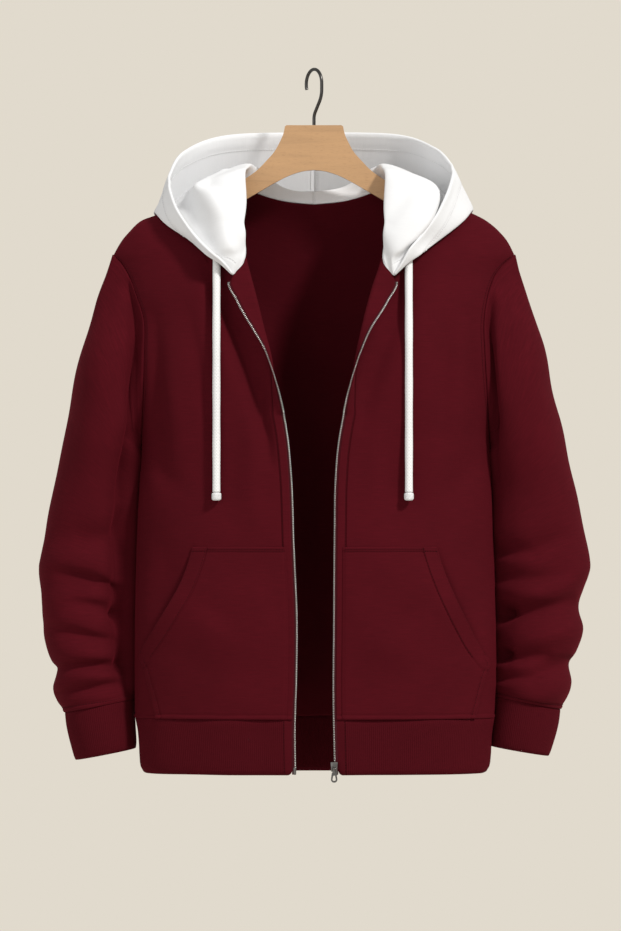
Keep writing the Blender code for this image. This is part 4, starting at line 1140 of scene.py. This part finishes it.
def add_back():
    at_neck = NECK_POINT[0] / SHOULDER_POINT[0]
    half = np.concatenate([at_neck * slowing(34)[:-1], at_neck + (1 - at_neck) * slowing(36)])
    share_down = np.concatenate([np.linspace(0, 0.98, 112)[:-1] ** 1.4,
                                 np.linspace(0.98 ** 1.4, 1, 14)])
    grid = []
    for down in share_down:
        row = []
        for across in np.concatenate([-half[:0:-1], half]):
            side = LEFT if across < 0 else RIGHT
            top = back_top(side, abs(across) * SHOULDER_POINT[0])
            z = top + (BODY_END_Z - top) * down
            width = SHOULDER_POINT[0] if z >= SHOULDER_POINT[1] else edge_out(side, z)
            out = abs(across) * width
            row.append(place(side, out, -depth(side, out, z, 2), z))
        grid.append(row)
    grid = np.array(grid)
    outside = (0, 2, -0.5)
    edge, z = np.minimum(from_start(grid), from_edge(grid)), grid[..., 2]
    fold = 1.4 * creases(flat_map(grid), BACK_FOLDS) + 0.0014 * waves(flat_map(grid), 31, 0.15)
    calm = (rising(edge, 0, 0.035) * rising(z, HEM_SEAM_Z, 0.03)
            * falling(z, BACK_NECK_Z - 0.02, 0.06))
    grid = grid + facing(grid, outside) * (fold * calm)[..., None]
    piece = shell("back_panel", grid, CLOTH, maroon_knit, outside,
                  swell=hem_ridge(z - BODY_END_Z))
    finish_piece(piece, "maroon_knit", "back")


SLEEVE_FOLDS = {
    "left": [  # on the front half: height, width, lean, path of (out, z)
        (-6.2, 9.5, 0.35, [(312, -600), (272, -608), (240, -620), (196, -634)]),
        (-7, 8.5, 0.25, [(286, -638), (250, -644), (222, -652), (180, -668)]),
        (-6.2, 10, 0.35, [(326, -668), (290, -674), (255, -683), (218, -688)]),
        (-6.8, 8, 0.2, [(290, -712), (255, -714), (222, -714), (180, -716)]),
        (-7, 8.5, 0.3, [(322, -752), (282, -741), (250, -737), (215, -735)]),
        (4.2, 14, 0, [(330, -636), (290, -636), (240, -636)]),
        (3.8, 13, 0, [(312, -702), (270, -702), (232, -700)]),
        (3.6, 11, 0, [(310, -726), (270, -727), (230, -727)]),
        (3, 15, 0, [(318, -580), (268, -590), (226, -604)]),
        (-4, 15, 0, [(190, -530), (236, -558), (290, -562)]),
        (-4, 12, 0, [(206, -640), (226, -654), (240, -658)]),
        (-4, 10, 0, [(206, -700), (224, -706), (238, -708)]),
        (3.2, 18, 0, [(246, -310), (268, -420), (276, -520)])],
    "right": [
        (-5.8, 9.5, 0.3, [(186, -566), (226, -580), (262, -578), (306, -556)]),
        (-5.2, 11, 0.2, [(180, -604), (226, -610), (270, -612), (314, -600)]),
        (-7.2, 9.5, 0.3, [(190, -660), (226, -655), (270, -648), (316, -634)]),
        (-6.6, 8, 0.2, [(180, -702), (224, -706), (250, -706), (286, -700)]),
        (-7, 9, 0.3, [(190, -734), (226, -731), (262, -728), (312, -708)]),
        (4.2, 14, 0, [(326, -600), (284, -628), (234, -632)]),
        (3.6, 12, 0, [(318, -668), (272, -682), (230, -682)]),
        (3.4, 11, 0, [(310, -742), (266, -752), (232, -748)]),
        (-5, 11, 0, [(210, -652), (224, -655), (238, -653)]),
        (-4.5, 10, 0, [(210, -700), (224, -705), (238, -706)]),
        (3.2, 18, 0, [(250, -310), (272, -420), (280, -520)])],
}


ARMHOLE_VALLEY = {  # where each sleeve sinks beside the body: depth, width, lean, path
    "left": [
        (-17, 9, 0, [(219, -262), (215, -290), (212, -330), (212.5, -380), (215, -430),
                     (219, -480), (224, -520)]),
        (-23, 17, 0, [(218, -450), (222, -500), (226, -560), (227, -640), (226, -720),
                      (222, -760)])],
    "right": [
        (-15, 5.5, 0, [(213, -275), (210, -310), (211, -360), (215, -430), (219, -500)]),
        (-10, 10, 0.3, [(205, -656), (222, -654), (246, -648)]),
        (-10, 9, 0.3, [(205, -702), (221, -702), (240, -700)])],
}
LAPEL_VALLEY = {  # where each front sinks beside the open zip's edge
    "left": [(-15, 15, -0.2, [(125, -240), (114, -270), (101, -305), (85, -345),
                              (68, -395), (56, -440), (50, -480)])],
    "right": [(-7, 13, 0, [(115, -245), (106, -275), (94, -310), (78, -350), (62, -400),
                           (54, -440)])],
}


def add_sleeve(side):
    name = side["name"]
    columns, last = 96, len(side["sleeve"])
    angles = np.linspace(0, FULL_TURN, columns, endpoint=False)
    keys = stretches((0, 3, 46), (3, last - 0.8, 132), (last - 0.8, last, 22))
    rings = np.array([sleeve_ring(side, key, angles) for key in keys])
    keys = keys[:, None]
    rings[0] += (rings[1] - rings[0]) * 0.02
    rings[..., 0] += ARMHOLE_SEAM * np.clip(1 - keys / 0.5, 0, 1)
    grid = turned(side, rings)
    outside = (side["sign"] * 2, 0, -0.5)
    ahead, behind = (rising(way * np.sin(angles), -0.25, 0.6) for way in (1, -1))
    inward = -np.cos(angles)
    view = flat_map(grid, side)
    fold = 1.25 * creases(view, SLEEVE_FOLDS[name]) * ahead
    other = "right" if side is LEFT else "left"
    fold += 0.85 * creases(view + [0.0, 0.006], SLEEVE_FOLDS[other]) * behind
    fold += 0.0016 * waves(view + [0.0, 0.3], 40 + side["order"], 0.10)
    fold *= 1 - 0.8 * rising(inward, 0.86, 0.12)
    fold += (0.0024 * (rising(keys, 1.2, 1.2) * falling(keys, last, 1.5))
             * rising(inward, 0.55, 0.40))
    fold += 0.0010 * rising(keys, 0.8, 1.0) * rising(inward, 0.8, 0.18)
    calm = rising(keys, 0, 1.2) * falling(keys, last, 0.5)
    from_seam = np.linalg.norm(grid - grid[:1], axis=-1)
    valley = creases(view, ARMHOLE_VALLEY[name]) * ahead
    valley *= (1 - 0.9 * rising(inward, 0.84, 0.14)) * rising(from_seam, 0, 0.005)
    valley *= falling(keys, last, 0.6)
    valley += (0.0012 * (rising(keys, 0, 0.4) * falling(keys, 6, 4))
               * rising(inward, 0.82, 0.14))
    grid = grid + facing(grid, outside, around=True) * (fold * calm + valley)[..., None]
    above = from_edge(grid.swapaxes(0, 1)).swapaxes(0, 1)
    piece = shell("sleeve_cloth_" + name, grid, CLOTH, maroon_knit, outside, around=True,
                  swell=hem_ridge(above, 0.0054, 0.0013))
    finish_piece(piece, "maroon_knit", "sleeve_" + name)
    cloth = [np.concatenate([field, field[:, :1]], axis=1)
             for field in (grid, facing(grid, outside, around=True))]
    row = row_above(grid, 0, 0.0052)
    stitches("sleeve_stitches_" + name,
             [line_on(*cloth, row, np.arange(columns + 1), CLOTH / 2)],
             maroon_thread, "maroon_knit")


def ribs(count):
    """Rounded ribs with narrow valleys between them, from a running count of ribs."""
    return RIB_HEIGHT * (2 * np.abs(np.sin(math.pi * count)) ** 0.7 - 1.2)


def rib_body(down, plump):
    """How a ribbed piece swells in the middle and draws in at its free end."""
    return plump * np.sin(math.pi * down) - 0.0006 * rising(down, 0.88, 0.12)


def add_cuff(side):
    columns = CUFF_RIBS * RIB_STEPS
    angles = np.linspace(0, FULL_TURN, 720, endpoint=False)
    sections = side["cuff"]
    rows = 15
    grid = []
    for section in spline(np.arange(len(sections)), sections,
                          np.linspace(0, len(sections) - 1, rows)):
        ring = ellipse_ring(section, angles)
        closed = np.concatenate([ring, ring[:1]])
        steps = steps_along(closed)
        grid.append(read_along(closed, steps, np.arange(columns) / columns * steps[-1]))
    grid = turned(side, np.array(grid))
    outside = (side["sign"] * 2, 0, -0.8)
    down = np.linspace(0, 1, rows)[:, None]
    relief = ribs(np.arange(columns) / RIB_STEPS) * (rising(down, 0, 0.06) * falling(down, 1, 0.05))
    spots = spread(np.cos(FULL_TURN * np.arange(columns) / columns) * 0.05, down * 0.06)
    shape = rib_body(down, 0.0004) + 0.0010 * waves(spots, 51, 0.08)
    grid = grid + facing(grid, outside, around=True) * (relief + shape)[..., None]
    piece = shell("cuff_rib_" + side["name"], grid, RIB, maroon_rib, outside, around=True)
    finish_piece(piece, "maroon_rib", "cuff_" + side["name"])


def band_path(z):
    """Fine level line of the hem band, from the left zip edge round the back to the right one."""
    row = []
    for side, face, order in ((LEFT, 1, 1), (LEFT, 2, -1), (RIGHT, 2, 1), (RIGHT, 1, -1)):
        inner = zip_out(side, z) + ZIP_STEP if face == 1 else 0.0
        outer = edge_out(side, z)
        out = inner + (outer - inner) * slowing(160)
        across = np.sqrt(np.maximum(0, 1 - (out / outer) ** ROUNDNESS))
        deep = down_table(FULLNESS, z, face) * across * (1 if face == 1 else -1)
        stretch = placed_row(side, out, deep, z)[::order]
        row += stretch if not row else stretch[1:]
    return np.array(row)


def add_hem_band():
    rows = 13
    paths = [band_path(z) for z in np.linspace(HEM_SEAM_Z - GAP / 2, BAND_Z, rows)]
    total = steps_along(paths[0])[-1]
    ends = STRIP + 0.0006
    ribbed = total - 2 * ends
    count = int(ribbed / RIB_PITCH)
    steps = count * RIB_STEPS
    at = np.concatenate([np.linspace(0, ends, 12, endpoint=False),
                         ends + ribbed * np.arange(steps + 1) / steps,
                         np.linspace(total - ends, total, 13)[1:]]) / total
    grid = []
    for path in paths:
        along = steps_along(path)
        grid.append(read_along(path, along, at * along[-1]))
    grid = np.array(grid)
    down = np.linspace(0, 1, rows)[:, None]
    corner = 0.0065
    to_end = np.minimum(at, 1 - at) * total
    rise = corner - np.sqrt(np.maximum(0, corner ** 2 - np.maximum(0, corner - to_end) ** 2))
    sideways = np.abs(grid[..., 0])
    grid[..., 2] += (rise + 0.0045 * rising(sideways, sideways.max() - 0.014, 0.014)) * down ** 3
    outside = (0, 2, -0.81)
    relief = np.where((at * total >= ends) & (at * total <= total - ends),
                      ribs((at * total - ends) / (ribbed / count)), 0.0001)
    relief = relief * (rising(down, 0, 0.05) * falling(down, 1, 0.04))
    shape = (rib_body(down, 0.0010) + 0.0013 * (1 - down) ** 2) * rising(to_end, 0, 0.010)
    ripple = 0.0012 * waves(spread(at * total, down * 0.066), 61, 0.11) * rising(to_end, 0, 0.04)
    grid = grid + facing(grid, outside) * (relief + shape + ripple)[..., None]
    piece = shell("hem_rib_band", grid, RIB, maroon_rib, outside)
    finish_piece(piece, "maroon_rib", "hem_band")
    cloth = grid, facing(grid, outside)
    columns = [np.interp(end / total, at, np.arange(len(at)))
               for end in (STRIP - 0.0004, total - STRIP + 0.0004)]
    stitches("hem_band_stitches",
             [line_on(*cloth, np.arange(rows), column, ON_CLOTH) for column in columns],
             maroon_thread, "maroon_rib")


HOOD_FOLDS = {  # depth and width in metres, path of (along, across) shares of the hood half
    "left": [(0.0030, 0.0070, [(0.66, 0.30), (0.60, 0.36), (0.55, 0.42)]),
             (-0.0040, 0.0110, [(0.34, 0.22), (0.42, 0.30), (0.52, 0.36)]),
             (-0.0020, 0.0090, [(0.14, 0.30), (0.24, 0.32), (0.34, 0.36)])],
    "right": [(-0.0030, 0.0110, [(0.34, 0.22), (0.42, 0.28), (0.52, 0.32)])],
}


def both_faces(cloth, rows, columns):
    """One line of stitches on the outer face of a cloth and the same on its inner face."""
    lines = []
    for turn in (1, -1):
        path, up = line_on(*cloth, rows, columns, turn * ON_CLOTH)
        lines.append((path, up * turn))
    return lines


def add_hood(side):
    name = side["name"]
    rows, columns = 150, 120
    grid = hood_grid(side, rows, columns)
    outside = (0, 2, -0.2)
    to_rim, to_seam = from_edge(grid), from_start(grid)
    along = np.linspace(0, 1, rows)[:, None]
    fold = np.zeros((rows, columns))
    for height, width, path in HOOD_FOLDS[name]:
        spots = [grid[int(a * (rows - 1)), int(b * (columns - 1))] for a, b in path]
        dense = [p + (q - p) * t for p, q in zip(spots, spots[1:]) for t in np.linspace(0, 1, 12)]
        fold += groove(nearest(grid, dense), 0, width, height)
    fold += 0.0010 * waves(spread(along * 0.36, np.linspace(0, 0.30, columns)),
                           70 + side["order"], 0.09)
    calm = (rising(to_seam, 0, 0.012) * rising(to_rim, 0, 0.010)
            * rising(along, 0, 0.12) * falling(along, 1, 0.04))
    grid = grid + facing(grid, outside) * (fold * calm)[..., None]
    tunnel = falling(to_rim, 0.0185, 0.0022) * rising(along, 0, 0.08)
    piece = shell("hood_half_" + name, grid, CLOTH + 0.0014 * tunnel, white_knit, outside)
    finish_piece(piece, "white_knit", "hood_" + name)
    cloth = grid, facing(grid, outside)
    index = np.arange(8, rows - 1)
    rim = [np.interp(-0.0195, -row, np.arange(columns)) for row in to_rim[index]]
    stitches("hood_stitches_" + name,
             both_faces(cloth, index, rim)
             + both_faces(cloth, row_above(grid, columns // 2, 0.0026), np.arange(2, columns - 2)),
             white_thread, "white_knit")


for each_side in (LEFT, RIGHT):
    add_front(each_side)
    add_pocket(each_side)
    add_sleeve(each_side)
    add_cuff(each_side)
    add_hood(each_side)
add_back()
add_hem_band()


# ---------------------------------------------------------------- zip

def zip_line(side, z, past=ZIP_STEP):
    """Middle (out, front) of the toothed edge, just past the cloth's own, and the way it faces."""
    middle = front_edge(side, z, 7, past_cloth=past)[-1]
    turn, _ = edge_turn(side, z)
    return middle, np.array([-math.cos(turn), math.sin(turn)])


def add_cube(size, location=(0, 0, 0)):
    """Start a block as a new piece, in edit mode with everything selected."""
    start_piece()
    bpy.ops.mesh.primitive_cube_add(size=1, scale=size, location=location)
    bpy.ops.object.transform_apply(location=False, rotation=False, scale=True)
    edit_all()


def tooth_form():
    """Points and faces of a tooth: a block that narrows towards the gap to a small nose."""
    add_cube((0.00130, 0.0016, 0.0020))
    pick("verts", lambda vertex: vertex.co.y > 0.0005)
    bpy.ops.transform.resize(value=(0.85, 1, 0.7))
    bpy.ops.mesh.extrude_region_move(TRANSFORM_OT_translate={"value": (0, 0.0004, 0)})
    bpy.ops.transform.resize(value=(0.6, 1, 0.6))
    bpy.ops.mesh.select_all(action="SELECT")
    round_off(0.00022, 1)
    made = end_piece("tooth", zip_silver)
    form = ([tuple(v.co) for v in made.data.vertices],
            [tuple(f.vertices) for f in made.data.polygons])
    bpy.data.objects.remove(made)
    return form


ZIP_ENDS = {  # name, z of the middle and size, in metres
    "left": [("zip_top_stop_", ZIP_TOP_Z - 0.0052, (0.0026, 0.0026, 0.0030)),
             ("zip_bottom_", BAND_Z + 0.0045, (0.0032, 0.0030, 0.0090))],
    "right": [("zip_top_stop_", ZIP_TOP_Z - 0.0052, (0.0026, 0.0026, 0.0030)),
              ("zip_bottom_", BAND_Z + 0.0026, (0.0052, 0.0050, 0.0062))],
}


def add_zip_side(side, form):
    """Teeth, tape and end pieces along one front edge."""
    name = side["name"]
    middle, to_gap = [], []
    for z in np.linspace(ZIP_TOP_Z, BAND_Z, 500):
        spot, way = zip_line(side, z, ZIP_STEP + 0.0004)
        middle.append((*spot, z))
        to_gap.append((*way, 0.0))
    middle, to_gap = turned(side, np.array(middle)), turned(side, np.array(to_gap))
    steps = steps_along(middle)
    number = int((steps[-1] - 0.0090) / TOOTH_PITCH) - 1
    shift = 0.0 if side is LEFT else 0.5
    at = 0.0070 + (np.arange(number) + shift) * TOOTH_PITCH
    spots = read_along(middle, steps, at)
    way, _, nose = frame_along(spots, read_along(to_gap, steps, at))
    places = list(zip(spots, way, nose, np.cross(way, nose)))
    finish_piece(copies("zip_teeth_" + name, form, places, zip_silver), "zip_metal",
                 "zip_chain_" + name)
    rows = []
    for z in np.linspace(ZIP_TOP_Z - 0.0030, BAND_Z + 0.0006, 200):
        spots = [zip_line(side, z, past)[0] for past in (0.0002, 0.0012, 0.0022, 0.0032)]
        rows.append(placed_row(side, *zip(*spots), z))
    tape = shell("zip_tape_" + name, np.array(rows), TAPE, zip_tape,
                 (side["sign"] * 0.1, -2, -0.5))
    finish_piece(tape, "maroon_knit")
    for end, z, size in ZIP_ENDS[name]:
        add_cube(size, place(side, *zip_line(side, z)[0], z))
        round_off(0.0008, 3)
        finish_piece(end_piece(end + name, dark_nickel), "dark_metal")


def slider_place():
    """Middle of the slider, which sits on the right chain, and its front."""
    middle, _ = zip_line(RIGHT, SLIDER_Z)
    return np.array(place(RIGHT, middle[0] - 0.0014, middle[1], SLIDER_Z))


def pull_axis():
    """A point on the pull tab's hinge axis, which runs along X."""
    return slider_place() + np.array([0, -SLIDER_SIZE[1] / 2 - 0.0024, PULL_AXIS_Z - SLIDER_Z])


def add_block(size, center, round_by):
    """In edit mode, a block with rounded edges beside whatever is there."""
    bpy.ops.mesh.select_all(action="DESELECT")
    bpy.ops.mesh.primitive_cube_add(size=1, location=center)
    bpy.ops.transform.resize(value=size)
    round_off(round_by, 3)


def add_slider():
    """The slider: two plates round a wedge, wide at the top, with lugs for the pull tab."""
    width, deep, tall = SLIDER_SIZE
    plate = 0.0017
    add_cube((1, 1, 1))
    bpy.ops.mesh.delete(type="VERT")
    for sign in (-1, 1):
        add_block((width, plate, tall), (0, sign * (deep - plate) / 2, 0), 0.0006)
    pick("verts", lambda vertex: vertex.co.z < -tall * 0.35)
    bpy.ops.transform.resize(value=(0.80, 1, 1))
    add_block((0.0022, deep * 0.8, tall * 0.72), (-width / 2 + 0.0015, 0, -0.0005), 0.0004)
    for sign in (-1, 1):
        add_block((0.0014, 0.0046, 0.0046),
                  (sign * 0.0030, -deep / 2 - 0.0017, PULL_AXIS_Z - SLIDER_Z), 0.0006)
    finish_piece(end_piece("zip_slider_body", dark_nickel, at=slider_place()), "dark_metal",
                 "zip_slider")


def add_pull():
    """The pull tab: a rounded plate with a long hole, a neck and a knuckle between the lugs."""
    half_drop = 0.0030
    start_piece()
    bpy.ops.mesh.primitive_cylinder_add(vertices=48, radius=0.0039, depth=0.0014,
                                        rotation=(math.pi / 2, 0, 0))
    bpy.ops.object.transform_apply(location=False, rotation=True, scale=False)
    bpy.ops.object.mode_set(mode="EDIT")
    pick("verts", lambda vertex: vertex.co.z > 0.0002)
    bpy.ops.transform.translate(value=(0, 0, half_drop))
    pick("verts", lambda vertex: vertex.co.z < 0.0002)
    bpy.ops.transform.translate(value=(0, 0, -half_drop))
    pick("verts", lambda vertex: vertex.co.z > 0.0028)
    bpy.ops.transform.resize(value=(0.78, 1, 0.85), center_override=(0, 0, half_drop))
    pick("faces", lambda face: abs(face.normal.y) > 0.9)
    bpy.ops.mesh.inset(thickness=0.0016, use_individual=True)
    bpy.ops.transform.resize(value=(0.85, 1, 0.62), center_override=(0, 0, -0.0036))
    bpy.ops.mesh.bridge_edge_loops()
    pick("edges", sharp(1.0))
    round_off(0.00035, 2)
    bpy.ops.mesh.select_all(action="SELECT")
    bpy.ops.transform.translate(value=(0, 0, -0.0095))
    add_block((0.0034, 0.0012, 0.0040), (0, 0, -0.0022), 0.0004)
    bpy.ops.mesh.select_all(action="DESELECT")
    bpy.ops.mesh.primitive_cylinder_add(vertices=24, radius=0.0015, depth=0.0038,
                                        rotation=(0, math.pi / 2, 0))
    round_off(0.0003, 2)
    finish_piece(end_piece("zip_pull_tab", dark_nickel, at=pull_axis()), "dark_metal",
                 "zip_pull", body="pull_tab")


# ---------------------------------------------------------------- hanger

HANGER_TOP = metres([  # out, z from the middle of the block to the arm's tip
    (0, -65.5), (20, -65.5), (30, -65.5), (33.4, -65.6),
    (34.8, -66.6), (35.3, -69), (36.6, -75),
    (41.3, -86), (47.6, -97.3), (57.4, -108.5), (68.5, -119.8),
    (82.7, -129.8), (100, -140), (137, -159), (191.4, -181.8),
    (207, -190.5), (214, -198), (216.5, -206)])
HANGER_BOTTOM = metres([  # out, z from the middle of the lower arch to the tip
    (0, -119.2), (12.4, -120.6), (28.3, -125.4), (47.6, -135),
    (68.5, -147.1), (82.7, -155.2), (137, -181.5), (191.4, -204),
    (206, -211), (213, -211.8), (216.5, -206)])


def hanger_edge(rows, share):
    steps = steps_along(rows)
    return spline(steps / steps[-1], rows, share)


def add_hanger():
    """The flat wooden hanger: a grid drawn to its outline, extruded, with rounded edges."""
    start_piece()
    bpy.ops.mesh.primitive_grid_add(x_subdivisions=200, y_subdivisions=8, size=2)
    bpy.ops.object.mode_set(mode="EDIT")
    mesh = bpy.context.view_layer.objects.active.data
    for vertex in bmesh.from_edit_mesh(mesh).verts:
        share = min(1.0, abs(vertex.co.x))
        upper = hanger_edge(HANGER_TOP, share)
        lower = hanger_edge(HANGER_BOTTOM, share)
        spot = lower + (upper - lower) * (vertex.co.y + 1) / 2
        vertex.co = (math.copysign(spot[0], vertex.co.x), HANGER_THICKNESS / 2, spot[1])
    bmesh.update_edit_mesh(mesh)
    bpy.ops.mesh.select_all(action="SELECT")
    bpy.ops.mesh.remove_doubles(threshold=0.00005)
    bpy.ops.mesh.extrude_region_move(TRANSFORM_OT_translate={"value": (0, -HANGER_THICKNESS, 0)})
    bpy.ops.mesh.select_all(action="SELECT")
    bpy.ops.mesh.normals_make_consistent(inside=False)
    pick("edges", sharp(1.2))
    round_off(0.0024, 4, clamp_overlap=True)
    finish_piece(end_piece("wooden_hanger", beech, 35), "beech", "hanger")


def draw(across, up):
    bpy.ops.mesh.extrude_region_move(TRANSFORM_OT_translate={"value": (across, 0, up)})


def bend(angle, x, z, steps):
    bpy.ops.mesh.spin(steps=steps, angle=angle, center=(x, 0, z), axis=(0, 1, 0))


def add_hook():
    """The wire hook: a round section drawn up, spun aside and back, then over the rail."""
    lean = math.radians(38)
    first, second = 0.014, 0.0236
    foot, straight = -0.0650, 0.0070
    top = HOOK_WIRE - HOOK_RADIUS
    start_piece()
    bpy.ops.mesh.primitive_circle_add(vertices=20, radius=HOOK_WIRE, fill_type="NGON")
    edit_all()
    bpy.ops.transform.translate(value=(0, 0, foot))
    draw(0, straight)
    z = foot + straight
    bend(-lean, first, z, 10)
    x = first * (1 - math.cos(lean))
    z += first * math.sin(lean)
    aside = HOOK_RADIUS - x - second * (1 - math.cos(lean))
    rise = aside / math.tan(lean)
    draw(aside, rise)
    x, z = x + aside, z + rise
    bend(lean, x - second * math.cos(lean), z + second * math.sin(lean), 10)
    z += second * math.sin(lean)
    draw(0, top - z)
    bend(math.radians(200), 0, top, 40)
    pick("edges", sharp(1.2))
    round_off(0.0008, 3)
    bpy.context.view_layer.objects.active.rotation_euler = (0, 0, -HOOK_TURN)
    finish_piece(end_piece("wire_hook", hook_steel, 50), "dark_metal", "hanger_hook")


tooth = tooth_form()
for each_side in (LEFT, RIGHT):
    add_zip_side(each_side, tooth)
add_slider()
add_pull()
add_hanger()
add_hook()


# ---------------------------------------------------------------- floor and light

def add_stage():
    start_piece()
    bpy.ops.mesh.primitive_cylinder_add(vertices=128, radius=2.5, depth=0.02,
                                        location=(0, 0, -1.41))
    plain, tree, shader = new_material("pale_floor")
    set_inputs(tree, shader, {"Base Color": (0.62, 0.58, 0.52, 1), "Roughness": 0.9})
    end_piece("floor", plain)


def add_sun(name, place_at, energy, color, size):
    """A sun that shines from a place towards the origin; its size is in degrees."""
    lamp = bpy.data.lights.new(name, "SUN")
    lamp.energy = energy
    lamp.color = color
    lamp.angle = math.radians(size)
    made = bpy.data.objects.new(name, lamp)
    bpy.context.scene.collection.objects.link(made)
    made.location = place_at
    made.rotation_euler = (-Vector(place_at)).to_track_quat("-Z", "Y").to_euler()


def add_world():
    """An even light, with a plain wall's color where the camera looks past the garment."""
    world = bpy.data.worlds.new("plain_room")
    bpy.context.scene.world = world
    world.use_nodes = True
    tree = world.node_tree
    tree.nodes.clear()
    seen = node(tree, "Background", {"Color": (0.753, 0.701, 0.610, 1)})
    lit = node(tree, "Background", {"Color": (1.0, 0.985, 0.96, 1), "Strength": 0.48})
    to_camera = node(tree, "LightPath").outputs["Is Camera Ray"]
    mix = node(tree, "MixShader", {"Fac": to_camera, 1: lit.outputs[0], 2: seen.outputs[0]})
    node(tree, "OutputWorld", {"Surface": mix.outputs[0]})


add_stage()
add_world()
add_sun("key_sun", (1.55, -1.6, 1.9), 2.5, (1.0, 0.99, 0.97), 7)
add_sun("front_fill", (-1.6, -2.0, 0.5), 0.60, (0.98, 0.99, 1.0), 60)

bpy.context.scene.view_settings.view_transform = "Standard"
